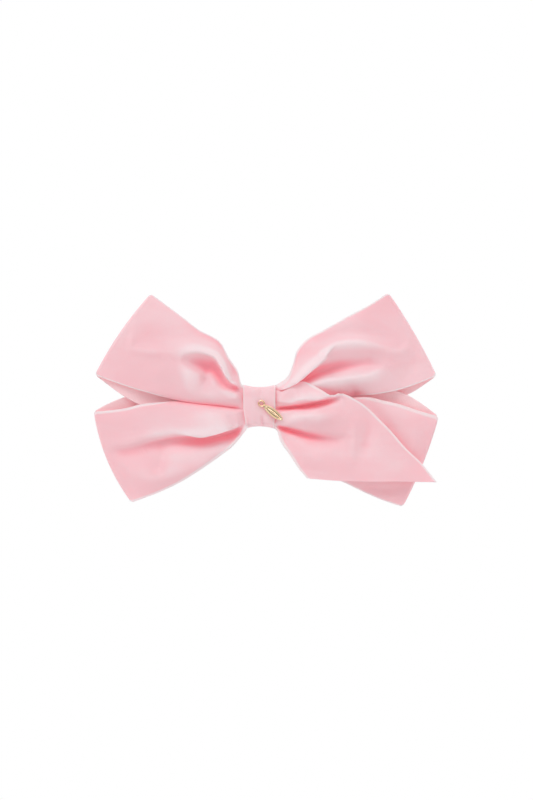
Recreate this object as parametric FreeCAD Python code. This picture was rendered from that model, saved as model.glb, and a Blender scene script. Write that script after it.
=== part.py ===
"""Velvet bow barrette: a four-loop ribbon bow with one tail, sewn to a French clip.

Frame, in millimetres: +X is the right of the bow seen from the front, +Z is up and -Y is the bow's front.
The origin is the middle of the clip plate's rear face, where the lock of hair lies.
"""
import FreeCAD, Part
import math
import os

Vector = FreeCAD.Vector

# ---- driving dimensions -------------------------------------------------------------------
RIBBON_THICK = 1.0          # velvet with its pile
WRAP_WIDTH = 15.6           # centre wrap, along X
WRAP_FRONT = -16.6          # inner face at the front
CORE_HALF_HEIGHT = 8.4      # gathered ribbon ends under the wrap
CORE_FRONT = -15.9
CORE_REAR = -2.4
WRAP_SEAM_Y = 0.32          # inner face of the wrap behind the clip plate
TURN_SPACING = 1.6          # between turns of the gathering thread
PLUG_GAP = 0.15             # each loop's gathered end stops this far from the middle
FOLD_RADIUS = 2.0           # outer fold of every loop
NECK_X = 8.2                # just outside the wrap

PLATE_LENGTH = 80.0
PLATE_WIDTH = 9.6
PLATE_THICK = 0.8
PLATE_RADIUS = 136.0        # rear face, curved to the head
PLATE_HINGE_ROUND = 0.8     # corner radii at the hinge end and at the catch end
PLATE_CATCH_ROUND = 2.6
PAD_LENGTH = 72.0
PAD_WIDTH = 9.2
PAD_THICK = 0.9
PAD_ROUND = 3.0

PIN_X = -37.0
PIN_Y = 10.2
PIN_RADIUS = 0.6
PIN_HEAD_RADIUS = 0.95
PIN_HEAD_THICK = 0.35
EYE_RADIUS = 1.45
EYE_CLEARANCE = 0.05
LUG_THICK = 0.8
LUG_RADIUS = 1.9

ARM_THICK = 0.8
ARM_WIDTH = 5.5
ARM_MIDDLE_Y = 9.8
ARM_RADIUS = 1200.0
ARM_START_X = PIN_X + 0.6
EYE_END_GAP = 0.25          # between the rolled eye's ends and the lugs
ARM_END_X = 41.0
HEAD_START_X = 32.0
WINDOW_X = (34.6, 38.8)
WINDOW_HALF = 3.2

SPRING_THICK = 0.45
SPRING_WIDTH = 5.0
SPRING_FRONT_Y = 4.5        # front face at the middle of its arch
SPRING_RADIUS = 1456.0
SPRING_END_X = 31.0
SPRING_OVERHANG = 0.3       # strip beyond each tongue
TAB_WIDTH = 3.0
TAB_CLEARANCE = 0.1
TAB_ENGAGED = 0.3           # how far the tongue stands in its slot at rest

PRONG_X = (35.3, 38.1)
PRONG_Z = (2.3, 2.9)
PRONG_TOP_Y = 14.6
PRONG_FOOT_RADIUS = 0.5
PRONG_AXIS_Y = 6.05
BARB_Y = (10.95, 12.3)
BARB_TIP_Z = 3.15
GRIP_HOLE_RADIUS = 0.45
BRACKET_X = (32.2, 39.4)
BRACKET_HALF_WIDTH = 3.6
BRACKET_THICK = 0.5
RIVET_X = 33.7
RIVET_RADIUS = 0.7
RIVET_HEAD_RADIUS = 1.2
RIVET_HEAD_THICK = 0.35
RIVET_REAR = -BRACKET_THICK - RIVET_HEAD_THICK

CHARM_TILT = 38.0           # degrees below horizontal, towards +X
CHARM_PLANE_Y = -18.9       # middle of the charm's thickness
CHARM_PIVOT = Vector(-0.08, CHARM_PLANE_Y, 2.46)
CHARM_RING_RADIUS = 1.38
CHARM_WIRE_RADIUS = 0.38
CHARM_HALF_LENGTH = 6.1
CHARM_HALF_WIDTH = 1.9
CHARM_THICK = 1.1
CHARM_RIM = 0.55
CHARM_RECESS = 0.3
CHARM_BEADS = 7
CHARM_LOOP_RADIUS = 0.68
CHARM_LOOP_THREAD = 0.2
CHARM_STEM_HOLE = 0.26

THREAD_RADIUS = 0.25
SEWING_HOLES = (27.0, 2.9)  # X and Z of the plate's four sewing holes
SEWING_HOLE_RADIUS = 0.7

UP = Vector(0, 0, 1)
BACK = Vector(0, 1, 0)
RIGHT = Vector(1, 0, 0)
FAR = 60.0                  # beyond the object in any direction


# ---- helpers ------------------------------------------------------------------------------
def spline(points):
    """One smooth edge through the points."""
    curve = Part.BSplineCurve()
    curve.interpolate(points)
    return curve.toShape()


def line(a, b):
    return Part.LineSegment(a, b).toShape()


def arc(a, middle, b):
    return Part.Arc(a, middle, b).toShape()


def prism(edges, direction):
    """The solid swept by the closed outline made of these edges."""
    return Part.Face(Part.Wire(edges)).extrude(direction)


def rounded_edges(corners):
    """Edges of a closed polygon whose corners, given as (point, radius), are rounded."""
    starts, ends, edges = [], [], []
    count = len(corners)
    for i, (point, radius) in enumerate(corners):
        before = (corners[i - 1][0] - point).normalize()
        after = (corners[(i + 1) % count][0] - point).normalize()
        half = before.getAngle(after) / 2
        reach = radius / math.tan(half)
        starts.append(point + before * reach)
        ends.append(point + after * reach)
        middle = (before + after).normalize()
        centre = point + middle * (radius / math.sin(half))
        if radius:
            edges.append(arc(starts[-1], centre - middle * radius, ends[-1]))
        else:
            edges.append(None)
    outline = []
    for i in range(count):
        if edges[i] is not None:
            outline.append(edges[i])
        outline.append(line(ends[i], starts[(i + 1) % count]))
    return outline


def bent_strip(x_start, x_end, centre_y, inner, outer, half_width):
    """A strip bent about an axis parallel to Z at (0, centre_y), between two radii."""
    side = 1 if centre_y > 0 else -1

    def at(radius, x):
        return Vector(x, centre_y - side * math.sqrt(radius**2 - x**2), -half_width)

    middle = (x_start + x_end) / 2
    edges = [
        arc(at(inner, x_start), at(inner, middle), at(inner, x_end)),
        line(at(inner, x_end), at(outer, x_end)),
        arc(at(outer, x_end), at(outer, middle), at(outer, x_start)),
        line(at(outer, x_start), at(inner, x_start)),
    ]
    return prism(edges, UP * (2 * half_width))


def plan(corners):
    """A tall prism along Y over an outline given as (x, z, corner radius)."""
    points = [(Vector(x, -FAR, z), radius) for x, z, radius in corners]
    return prism(rounded_edges(points), BACK * (2 * FAR))


def plate_rear(x):
    """Y of the clip plate's rear face at x."""
    return PLATE_RADIUS - math.sqrt(PLATE_RADIUS**2 - x**2)


def save(name, shape):
    shape.exportStep(f"parts/{name}.step")


# ---- ribbon -------------------------------------------------------------------------------
def outline_prism(parts):
    """The loop's outline seen from the front, as a deep prism along Y.
    Each part is a list of (x, z): two points make a straight edge and more make a smooth one."""
    edges = []
    for points in parts:
        vectors = [Vector(x, -FAR, z) for x, z in points]
        edges.append(line(*vectors) if len(vectors) == 2 else spline(vectors))
    return prism(edges, BACK * (2 * FAR))


def loop_wall(angle, fold_r, front, rear, shell):
    """The ribbon seen along its width: front layer, round outer fold and rear layer.
    angle is the loop's run, fold_r the fold's distance from the middle, and front and rear are
    (distance, y) points. The inside starts where the gathered end stops."""
    run = Vector(math.cos(math.radians(angle)), 0, math.sin(math.radians(angle)))
    across = run.cross(BACK)
    fold_y = (front[-1][1] + rear[-1][1]) / 2

    def at(distance, y):
        return run * distance + BACK * y - across * FAR

    tip = at(fold_r - shell, fold_y)
    bend = fold_r - FOLD_RADIUS
    front_points = [at(r, y + shell) for r, y in front] + [at(bend, fold_y - FOLD_RADIUS + shell)]
    rear_points = [at(r, y - shell) for r, y in rear] + [at(bend, fold_y + FOLD_RADIUS - shell)]
    edges = [
        spline(front_points),
        arc(front_points[-1], tip, rear_points[-1]),
        spline(rear_points[::-1]),
        line(rear_points[0], front_points[0]),
    ]
    return prism(edges, across * (2 * FAR))


def make_loop(outline, angle, fold_r, front_puff, core_front):
    """A ribbon loop: its outline, cut to the wall of a flattened tube that both edges leave open."""
    front = [(-8, core_front), (4, core_front), (12, core_front - 0.1), (30, front_puff),
             (56, front_puff + 2.6)]
    rear = [(-8, CORE_REAR), (4, CORE_REAR), (12, CORE_REAR - 0.1), (34, -2.2), (58, -2.9)]
    hollow_front = [(15, -10.5), (22, front_puff + 1.4), *front[3:]]
    hollow_rear = [(15, -7.0), (22, -2.9), (34, -2.2), (58, -2.9)]
    body = outline_prism(outline).common(loop_wall(angle, fold_r, front, rear, 0.0))
    return body.cut(loop_wall(angle, fold_r, hollow_front, hollow_rear, RIBBON_THICK))


def make_upper_left():
    top, bottom = CORE_HALF_HEIGHT, -0.8
    outline = [
        [(-PLUG_GAP, bottom), (-PLUG_GAP, top)],
        [(-PLUG_GAP, top), (-NECK_X, top)],
        [(-NECK_X, top), (-11.0, 16.5), (-17.0, 29.0)],
        [(-17.0, 29.0), (-35.0, 41.5), (-54.5, 56.0)],
        [(-54.5, 56.0), (-70.5, 36.5), (-82.0, 15.5)],
        [(-82.0, 15.5), (-58.0, 7.2), (-37.0, 2.4), (-20.0, 0.5), (-NECK_X, bottom)],
        [(-NECK_X, bottom), (-PLUG_GAP, bottom)],
    ]
    return make_loop(outline, 146.6, 78.4, -17.8, CORE_FRONT)


def make_lower_left():
    top, bottom = -1.3, -CORE_HALF_HEIGHT
    outline = [
        [(-PLUG_GAP, bottom), (-PLUG_GAP, top)],
        [(-PLUG_GAP, top), (-NECK_X, top)],
        [(-NECK_X, top), (-20.0, -0.1), (-37.0, 1.5), (-60.5, 0.8), (-82.5, -3.0)],
        [(-82.5, -3.0), (-77.8, -23.5), (-64.0, -47.5)],
        [(-64.0, -47.5), (-46.5, -41.0), (-30.5, -33.0), (-18.5, -24.5), (-NECK_X, bottom)],
        [(-NECK_X, bottom), (-PLUG_GAP, bottom)],
    ]
    return make_loop(outline, 203.0, 80.4, -17.2, CORE_FRONT)


def make_upper_right():
    top, bottom = CORE_HALF_HEIGHT, -0.4
    outline = [
        [(PLUG_GAP, bottom), (PLUG_GAP, top)],
        [(PLUG_GAP, top), (NECK_X, top)],
        [(NECK_X, top), (13.5, 16.5), (16.0, 25.0), (25.5, 34.8), (41.5, 43.2)],
        [(41.5, 43.2), (65.2, 56.2)],
        [(65.2, 56.2), (77.5, 37.0), (88.0, 15.0)],
        [(88.0, 15.0), (66.0, 8.0), (46.5, 5.1), (25.0, 2.0), (NECK_X, bottom)],
        [(NECK_X, bottom), (PLUG_GAP, bottom)],
    ]
    return make_loop(outline, 29.0, 86.0, -16.4, CORE_FRONT + 1.6)


def make_lower_right():
    top, bottom = -0.9, -CORE_HALF_HEIGHT
    outline = [
        [(PLUG_GAP, bottom), (PLUG_GAP, top)],
        [(PLUG_GAP, top), (NECK_X, top)],
        [(NECK_X, top), (25.0, 1.4), (46.5, 4.2), (67.5, 1.3), (89.5, -4.0)],
        [(89.5, -4.0), (84.0, -24.0), (72.5, -49.5)],
        [(72.5, -49.5), (45.5, -39.0), (20.5, -24.5), (NECK_X, bottom)],
        [(NECK_X, bottom), (PLUG_GAP, bottom)],
    ]
    return make_loop(outline, -20.7, 87.4, -16.2, CORE_FRONT + 1.6)


def make_tail():
    """The free end of the ribbon, one layer, cut on a slant and lying over the right loops."""
    angle = -20.0
    top, bottom = CORE_HALF_HEIGHT, -CORE_HALF_HEIGHT
    outline = [
        [(PLUG_GAP, bottom), (PLUG_GAP, top)],
        [(PLUG_GAP, top), (NECK_X, top)],
        [(NECK_X, top), (21.0, 12.4), (35.0, 6.4), (41.5, 6.4), (54.0, 0.0), (72.5, -20.5), (88.3, -38.2)],
        [(88.3, -38.2), (24.5, -36.2)],
        [(24.5, -36.2), (21.5, -34.0), (13.5, -22.5), (NECK_X, bottom)],
        [(NECK_X, bottom), (PLUG_GAP, bottom)],
    ]
    run = Vector(math.cos(math.radians(angle)), 0, math.sin(math.radians(angle)))
    across = run.cross(BACK)
    front = [(-8, CORE_FRONT), (6, CORE_FRONT), (13, -17.0), (22, -19.0), (38, -20.2), (66, -18.6),
             (104, -14.2)]

    def at(distance, y):
        return run * distance + BACK * y - across * FAR

    front_points = [at(r, y) for r, y in front]
    rear_points = [at(r, y + RIBBON_THICK) for r, y in front[::-1]]
    sheet = prism(
        [
            spline(front_points),
            line(front_points[-1], rear_points[0]),
            spline(rear_points),
            line(rear_points[-1], front_points[0]),
        ],
        across * (2 * FAR),
    )
    return outline_prism(outline).common(sheet)


def wrap_corners(x, grow):
    """Corners of the wrap's section at x: wide round the ribbons, narrow round the plate."""
    side, neck = 9.0 + grow, 5.2 + grow
    front, shoulder, rear = WRAP_FRONT - grow, -2.1 + grow / 2, WRAP_SEAM_Y + grow
    return [
        (Vector(x, front, -side), 0.8 + grow),
        (Vector(x, front, side), 0.8 + grow),
        (Vector(x, shoulder, side), 0.4 + grow),
        (Vector(x, rear, neck), 0.4 + grow),
        (Vector(x, rear, -neck), 0.4 + grow),
        (Vector(x, shoulder, -side), 0.4 + grow),
    ]


def make_wrap():
    """The band round the middle, closed behind the clip plate."""
    start = -WRAP_WIDTH / 2
    outer = prism(rounded_edges(wrap_corners(start, RIBBON_THICK)), RIGHT * WRAP_WIDTH)
    inner = prism(rounded_edges(wrap_corners(start - 1, 0.0)), RIGHT * (WRAP_WIDTH + 2))
    stem_hole = Part.makeCylinder(CHARM_STEM_HOLE, 3, CHARM_PIVOT, BACK)
    return outer.cut(inner).cut(stem_hole)


def make_wrap_stitches():
    """Five short hand stitches that close the wrap on its rear face."""
    rear = WRAP_SEAM_Y + RIBBON_THICK
    pitch, length, radius = 2.6, 2.4, 0.18
    stitches = []
    for i in range(-2, 3):
        start = Vector(i * pitch - 0.4, rear + radius, -length / 2)
        stitches.append(Part.makeCylinder(radius, length, start, Vector(0.3, 0, 1)))
    return Part.makeCompound(stitches)


def make_gathering_thread():
    """Three turns of thread that hold the gathered ribbons together under the wrap."""
    gap = 0.04
    turns = []
    for x in (-TURN_SPACING, 0.0, TURN_SPACING):
        rings = []
        for grow in (gap + 2 * THREAD_RADIUS, gap):
            side = CORE_HALF_HEIGHT + grow
            corners = [
                (Vector(x - THREAD_RADIUS, y, z), grow)
                for y, z in (
                    (CORE_FRONT - grow, -side),
                    (CORE_FRONT - grow, side),
                    (CORE_REAR + grow, side),
                    (CORE_REAR + grow, -side),
                )
            ]
            rings.append(prism(rounded_edges(corners), RIGHT * (2 * THREAD_RADIUS)))
        turns.append(rings[0].cut(rings[1]))
    return Part.makeCompound(turns)


# ---- clip ---------------------------------------------------------------------------------
def sewing_points():
    """X and Z of each sewing hole, and the plate's direction through it."""
    x_hole, z_hole = SEWING_HOLES
    for x in (-x_hole, x_hole):
        through = Vector(x, plate_rear(x) - PLATE_RADIUS, 0).normalize()
        for z in (-z_hole, z_hole):
            yield Vector(x, plate_rear(x), z), through


def make_mounting_threads():
    """Two staples of thread, one at each end of the plate, that sew the pad and bow to it."""
    x_hole, z_hole = SEWING_HOLES
    depth = PLATE_THICK + PAD_THICK
    pieces = []
    for point, through in sewing_points():
        back = point - through * 0.3
        pieces.append(Part.makeCylinder(THREAD_RADIUS, depth + 0.3, back, through))
        pieces.append(Part.makeSphere(0.5, point + through * (depth + 0.35)))
    for x in (-x_hole, x_hole):
        through = Vector(x, plate_rear(x) - PLATE_RADIUS, 0).normalize()
        start = Vector(x, plate_rear(x), -z_hole) - through * 0.3
        pieces.append(Part.makeCylinder(THREAD_RADIUS, 2 * z_hole, start, UP))
        pieces.append(Part.makeSphere(THREAD_RADIUS, start))
        pieces.append(Part.makeSphere(THREAD_RADIUS, start + UP * (2 * z_hole)))
    halves = [[p for p in pieces if p.CenterOfMass.x < 0], [p for p in pieces if p.CenterOfMass.x > 0]]
    return Part.makeCompound([half[0].fuse(half[1:]) for half in halves])


def make_plate():
    """The curved clip plate, with its two hinge lugs, spring slots and sewing holes."""
    half_length, half_width = PLATE_LENGTH / 2, PLATE_WIDTH / 2
    strip = bent_strip(-half_length, half_length, PLATE_RADIUS, PLATE_RADIUS,
                       PLATE_RADIUS + PLATE_THICK, half_width)
    strip = strip.common(plan([
        (-half_length, -half_width, PLATE_HINGE_ROUND), (half_length, -half_width, PLATE_CATCH_ROUND),
        (half_length, half_width, PLATE_CATCH_ROUND), (-half_length, half_width, PLATE_HINGE_ROUND),
    ]))
    lugs = []
    for z in (-half_width, half_width - LUG_THICK):
        foot = plate_rear(PIN_X) - PLATE_THICK / 2
        lug = rounded_edges([
            (Vector(PIN_X - 2.8, foot, z), 0.0), (Vector(PIN_X + 3.6, foot - 0.5, z), 0.0),
            (Vector(PIN_X + LUG_RADIUS, PIN_Y + LUG_RADIUS, z), LUG_RADIUS * 0.98),
            (Vector(PIN_X - LUG_RADIUS, PIN_Y + LUG_RADIUS, z), LUG_RADIUS * 0.98),
        ])
        lugs.append(prism(lug, UP * LUG_THICK))
    plate = strip.fuse(lugs)
    pin_hole = Part.makeCylinder(PIN_RADIUS, PLATE_WIDTH + 2, Vector(PIN_X, PIN_Y, -half_width - 1), UP)
    plate = plate.cut(pin_hole)
    for x in (-SPRING_END_X, SPRING_END_X):
        plate = plate.cut(spring_tab(x, TAB_CLEARANCE, -2.0, 2.0))
    for point, through in sewing_points():
        plate = plate.cut(Part.makeCylinder(SEWING_HOLE_RADIUS, 6, point - through * 3, through))
    return plate.cut(rivet_shank(1.0)).removeSplitter()


def make_pad(threads):
    """Felt between the bow and the plate, curved with the plate."""
    half_length, half_width = PAD_LENGTH / 2, PAD_WIDTH / 2
    front = PLATE_RADIUS + PLATE_THICK
    pad = bent_strip(-half_length, half_length, PLATE_RADIUS, front, front + PAD_THICK, half_width)
    pad = pad.common(plan([
        (-half_length, -half_width, PAD_ROUND), (half_length, -half_width, PAD_ROUND),
        (half_length, half_width, PAD_ROUND), (-half_length, half_width, PAD_ROUND),
    ]))
    return pad.cut(threads).cut(rivet_head(PLATE_THICK - 0.01, 0.5, 1.6))


def spring_tab(x, clearance, low, high):
    """The tongue at the spring's end, or its slot when given a clearance. It runs along Y
    between two distances from the plate's rear face."""
    corner = Vector(x - SPRING_THICK / 2 - clearance, plate_rear(x) + low, -TAB_WIDTH / 2 - clearance)
    return Part.makeBox(SPRING_THICK + 2 * clearance, high - low, TAB_WIDTH + 2 * clearance, corner)


def make_spring():
    """The arched tension spring, whose two tongues sit in slots in the plate."""
    centre_y = SPRING_FRONT_Y - SPRING_RADIUS
    end_x = SPRING_END_X + SPRING_OVERHANG
    strip = bent_strip(-end_x, end_x, centre_y, SPRING_RADIUS, SPRING_RADIUS + SPRING_THICK,
                       SPRING_WIDTH / 2)
    stand_off = centre_y + math.sqrt(SPRING_RADIUS**2 - SPRING_END_X**2) - plate_rear(SPRING_END_X)
    tabs = [spring_tab(x, 0.0, -TAB_ENGAGED, stand_off + SPRING_THICK / 2)
            for x in (-SPRING_END_X, SPRING_END_X)]
    return strip.fuse(tabs).removeSplitter()


def make_pin():
    """The hinge pin, peened over outside both lugs."""
    half = PLATE_WIDTH / 2
    shank = Part.makeCylinder(PIN_RADIUS, PLATE_WIDTH, Vector(PIN_X, PIN_Y, -half), UP)
    heads = [
        Part.makeCone(PIN_HEAD_RADIUS, PIN_RADIUS, PIN_HEAD_THICK, Vector(PIN_X, PIN_Y, half), UP),
        Part.makeCone(PIN_HEAD_RADIUS, PIN_RADIUS, PIN_HEAD_THICK, Vector(PIN_X, PIN_Y, -half), -UP),
    ]
    return shank.fuse(heads).removeSplitter()


def make_arm():
    """The clasp arm: a rolled eye round the pin, a bent strip and a head with a window."""
    centre_y = ARM_MIDDLE_Y + ARM_RADIUS
    inner, outer = ARM_RADIUS - ARM_THICK / 2, ARM_RADIUS + ARM_THICK / 2
    strip = bent_strip(ARM_START_X, ARM_END_X, centre_y, inner, outer, PLATE_WIDTH)
    half, head = ARM_WIDTH / 2, PLATE_WIDTH / 2
    strip = strip.common(plan([
        (ARM_START_X, -half, 0.0), (HEAD_START_X - 1.0, -half, 1.5),
        (HEAD_START_X + 1.0, -head, 1.2), (ARM_END_X, -head, 2.4),
        (ARM_END_X, head, 2.4), (HEAD_START_X + 1.0, head, 1.2),
        (HEAD_START_X - 1.0, half, 1.5), (ARM_START_X, half, 0.0),
    ]))
    window = plan([
        (WINDOW_X[0], -WINDOW_HALF, 0.5), (WINDOW_X[1], -WINDOW_HALF, 0.5),
        (WINDOW_X[1], WINDOW_HALF, 0.5), (WINDOW_X[0], WINDOW_HALF, 0.5),
    ])
    eye_half = PLATE_WIDTH / 2 - LUG_THICK - EYE_END_GAP
    eye = Part.makeCylinder(EYE_RADIUS, 2 * eye_half, Vector(PIN_X, PIN_Y, -eye_half), UP)
    bore = Part.makeCylinder(PIN_RADIUS + EYE_CLEARANCE, 20, Vector(PIN_X, PIN_Y, -10), UP)
    return strip.cut(window).fuse(eye).cut(bore).removeSplitter()


def rivet_axis():
    """A point on the plate's rear face at the catch rivet, and the way forward through it."""
    through = Vector(RIVET_X, plate_rear(RIVET_X) - PLATE_RADIUS, 0).normalize()
    return Vector(RIVET_X, plate_rear(RIVET_X), 0), through


def rivet_shank(extra):
    point, through = rivet_axis()
    length = PLATE_THICK + BRACKET_THICK + 2 * extra
    return Part.makeCylinder(RIVET_RADIUS, length, point - through * (BRACKET_THICK + extra), through)


def rivet_head(offset, thick, radius):
    """A disc across the rivet's axis, starting this far forward of the plate's rear face."""
    point, through = rivet_axis()
    return Part.makeCylinder(radius, thick, point + through * offset, through)


def make_rivet():
    """The rivet that holds the catch bracket to the plate, with a low head at each end."""
    heads = [rivet_head(y, RIVET_HEAD_THICK, RIVET_HEAD_RADIUS) for y in (PLATE_THICK, RIVET_REAR)]
    return rivet_shank(0.0).fuse(heads).removeSplitter()


def prong_axis(side):
    return Vector(PRONG_X[0], PRONG_AXIS_Y, side * (PRONG_Z[0] + PRONG_Z[1]) / 2)


def make_bracket():
    """The catch bracket: a base that hugs the plate, and a seat for each spring prong."""
    base = bent_strip(*BRACKET_X, PLATE_RADIUS, PLATE_RADIUS - BRACKET_THICK, PLATE_RADIUS,
                      BRACKET_HALF_WIDTH)
    length = PRONG_X[1] - PRONG_X[0]
    behind_plate = Part.makeCylinder(PLATE_RADIUS, 20, Vector(0, PLATE_RADIUS, -10), UP)
    seats, grooves = [], []
    for side in (-1, 1):
        axis = prong_axis(side)
        block = Part.makeBox(length, 1.9, 1.6, Vector(PRONG_X[0], axis.y - 2.0, axis.z - 0.8))
        seats.append(block.common(behind_plate))
        grooves.append(Part.makeCylinder(PRONG_FOOT_RADIUS + 0.03, length + 2, axis - RIGHT, RIGHT))
    bracket = base.fuse(seats).cut(grooves[0]).cut(grooves[1])
    rear_head = rivet_head(RIVET_REAR, RIVET_HEAD_THICK, RIVET_HEAD_RADIUS)
    return bracket.cut(rivet_shank(1.0)).cut(rear_head).removeSplitter()


def make_prong(side):
    """One spring prong: a round foot at its bend, a flat blade, an outward barb and a round top."""
    axis = prong_axis(side)
    length = PRONG_X[1] - PRONG_X[0]
    foot = Part.makeCylinder(PRONG_FOOT_RADIUS, length, axis, RIGHT)
    inner, outer = side * PRONG_Z[0], side * PRONG_Z[1]
    section = [
        Vector(PRONG_X[0], PRONG_AXIS_Y, inner),
        Vector(PRONG_X[0], PRONG_AXIS_Y, outer),
        Vector(PRONG_X[0], BARB_Y[0], outer),
        Vector(PRONG_X[0], BARB_Y[0] + 0.1, side * BARB_TIP_Z),
        Vector(PRONG_X[0], BARB_Y[1], outer),
        Vector(PRONG_X[0], PRONG_TOP_Y, outer),
        Vector(PRONG_X[0], PRONG_TOP_Y, inner),
    ]
    blade = prism([line(a, b) for a, b in zip(section, section[1:] + section[:1])], RIGHT * length)
    middle, radius = sum(PRONG_X) / 2, length / 2
    face_on = [
        (Vector(PRONG_X[0], PRONG_AXIS_Y - 2, -6), 0.0),
        (Vector(PRONG_X[1], PRONG_AXIS_Y - 2, -6), 0.0),
        (Vector(PRONG_X[1], PRONG_TOP_Y, -6), radius * 0.98),
        (Vector(PRONG_X[0], PRONG_TOP_Y, -6), radius * 0.98),
    ]
    rounded = prism(rounded_edges(face_on), UP * 12)
    grip = Part.makeCylinder(GRIP_HOLE_RADIUS, 12, Vector(middle, PRONG_TOP_Y - radius, -6), UP)
    return blade.fuse(foot).common(rounded).cut(grip).removeSplitter()


# ---- charm --------------------------------------------------------------------------------
def charm_frame():
    """The charm's own directions: along its length, and across it in the bow's front plane."""
    tilt = math.radians(-CHARM_TILT)
    along = Vector(math.cos(tilt), 0, math.sin(tilt))
    return along, along.cross(BACK)


def make_charm():
    """A cast navette with a raised rim, a sunk field of graded beads and a ring at one end."""
    along, _ = charm_frame()
    ring_centre = CHARM_PIVOT + along * CHARM_RING_RADIUS
    centre = ring_centre + along * (CHARM_RING_RADIUS + CHARM_HALF_LENGTH - 0.2)
    front = CHARM_THICK / 2

    def oval(shrink, y_low, y_high):
        ellipse = Part.Ellipse(Vector(), CHARM_HALF_LENGTH - shrink, CHARM_HALF_WIDTH - shrink)
        solid = Part.Face(Part.Wire(ellipse.toShape())).extrude(UP * (y_high - y_low))
        solid.rotate(Vector(), RIGHT, -90)
        solid.translate(BACK * y_low)
        return solid

    body = oval(0.0, -front, front).cut(oval(CHARM_RIM, -front - 1, -front + CHARM_RECESS))
    beads = []
    step = 1.36
    for i in range(CHARM_BEADS):
        place = (i - (CHARM_BEADS - 1) / 2) * step
        radius = 0.62 - 0.07 * abs(i - (CHARM_BEADS - 1) / 2)
        beads.append(Part.makeSphere(radius, Vector(place, -front + CHARM_RECESS + 0.15, 0)))
    body = body.fuse(beads)
    body.rotate(Vector(), BACK, CHARM_TILT)
    body.translate(centre)
    ring = Part.makeTorus(CHARM_RING_RADIUS, CHARM_WIRE_RADIUS, ring_centre, BACK)
    return body.fuse(ring).removeSplitter()


def make_charm_thread():
    """The loop of sewing thread round the charm's ring, and its stem into the wrap."""
    _, across = charm_frame()
    loop = Part.makeTorus(CHARM_LOOP_RADIUS, CHARM_LOOP_THREAD, CHARM_PIVOT, across)
    start = CHARM_PIVOT + BACK * CHARM_LOOP_RADIUS
    stem = Part.makeCylinder(CHARM_LOOP_THREAD, WRAP_FRONT - 0.1 - start.y, start, BACK)
    return loop.fuse(stem).removeSplitter()


def main():
    os.makedirs("parts", exist_ok=True)
    threads = make_mounting_threads()
    nodes = {
        "loop_upper_left": make_upper_left(),
        "loop_lower_left": make_lower_left(),
        "loop_upper_right": make_upper_right(),
        "loop_lower_right": make_lower_right(),
        "ribbon_tail": make_tail(),
        "centre_wrap": make_wrap(),
        "wrap_seam_stitches": make_wrap_stitches(),
        "gathering_thread": make_gathering_thread(),
        "backing_pad": make_pad(threads),
        "mounting_threads": threads,
        "clip_base_plate": make_plate(),
        "tension_spring": make_spring(),
        "hinge_pin": make_pin(),
        "clasp_arm": make_arm(),
        "catch_bracket": make_bracket(),
        "catch_rivet": make_rivet(),
        "catch_prong_upper": make_prong(1),
        "catch_prong_lower": make_prong(-1),
        "charm": make_charm(),
        "charm_thread": make_charm_thread(),
    }
    for name, shape in nodes.items():
        print(f"{name}: {len(shape.Solids)} solids, {shape.Volume:.1f} mm3, valid {shape.isValid()}")
        save(name, shape)


main()
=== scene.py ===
"""The looks of the velvet bow barrette: ribbon, thread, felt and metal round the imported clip.

Lengths in this script are millimetres, and a mesh is turned to metres when it is made. A ribbon loop
is drawn seen from the front, as shares of its own far corner: (0, 0) is the middle of the knot and
(1, 1) is the loop's outermost x and z. Depth runs along Y, and the front of the bow is -Y.
"""

import math
from collections import namedtuple

import bpy
import numpy as np
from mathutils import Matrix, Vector


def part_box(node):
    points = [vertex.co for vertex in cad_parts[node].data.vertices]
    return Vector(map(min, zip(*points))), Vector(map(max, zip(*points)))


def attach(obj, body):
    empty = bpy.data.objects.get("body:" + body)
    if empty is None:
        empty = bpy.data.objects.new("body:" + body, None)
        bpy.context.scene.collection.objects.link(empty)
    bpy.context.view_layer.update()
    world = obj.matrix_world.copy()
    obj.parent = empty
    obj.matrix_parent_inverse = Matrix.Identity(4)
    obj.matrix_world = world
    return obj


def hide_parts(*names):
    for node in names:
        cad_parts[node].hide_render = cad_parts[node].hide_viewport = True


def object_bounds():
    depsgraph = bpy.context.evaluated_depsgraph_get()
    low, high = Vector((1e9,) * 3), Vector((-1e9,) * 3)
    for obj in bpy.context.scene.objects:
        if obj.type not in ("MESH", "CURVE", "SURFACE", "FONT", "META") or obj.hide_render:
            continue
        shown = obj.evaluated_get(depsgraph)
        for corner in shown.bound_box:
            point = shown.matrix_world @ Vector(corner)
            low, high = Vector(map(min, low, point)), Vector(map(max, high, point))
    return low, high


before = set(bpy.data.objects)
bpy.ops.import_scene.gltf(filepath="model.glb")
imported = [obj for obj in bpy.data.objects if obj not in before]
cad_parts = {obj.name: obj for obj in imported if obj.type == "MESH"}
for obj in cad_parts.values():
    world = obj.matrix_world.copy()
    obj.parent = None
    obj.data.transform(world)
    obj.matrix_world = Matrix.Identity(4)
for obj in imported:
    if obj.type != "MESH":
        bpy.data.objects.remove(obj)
cad_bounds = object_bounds()
MM = 0.001


# ---- sizes from the frame -----------------------------------------------------------------
def box_mm(node):
    """Lowest and highest corner of a node, in millimetres."""
    low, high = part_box(node)
    return np.array(low) / MM, np.array(high) / MM


def far_corner(node):
    """The node's outermost x and z, measured from the middle of the knot."""
    low, high = box_mm(node)
    ends = [low[i] if abs(low[i]) > abs(high[i]) else high[i] for i in (0, 2)]
    return np.array(ends)


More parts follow.
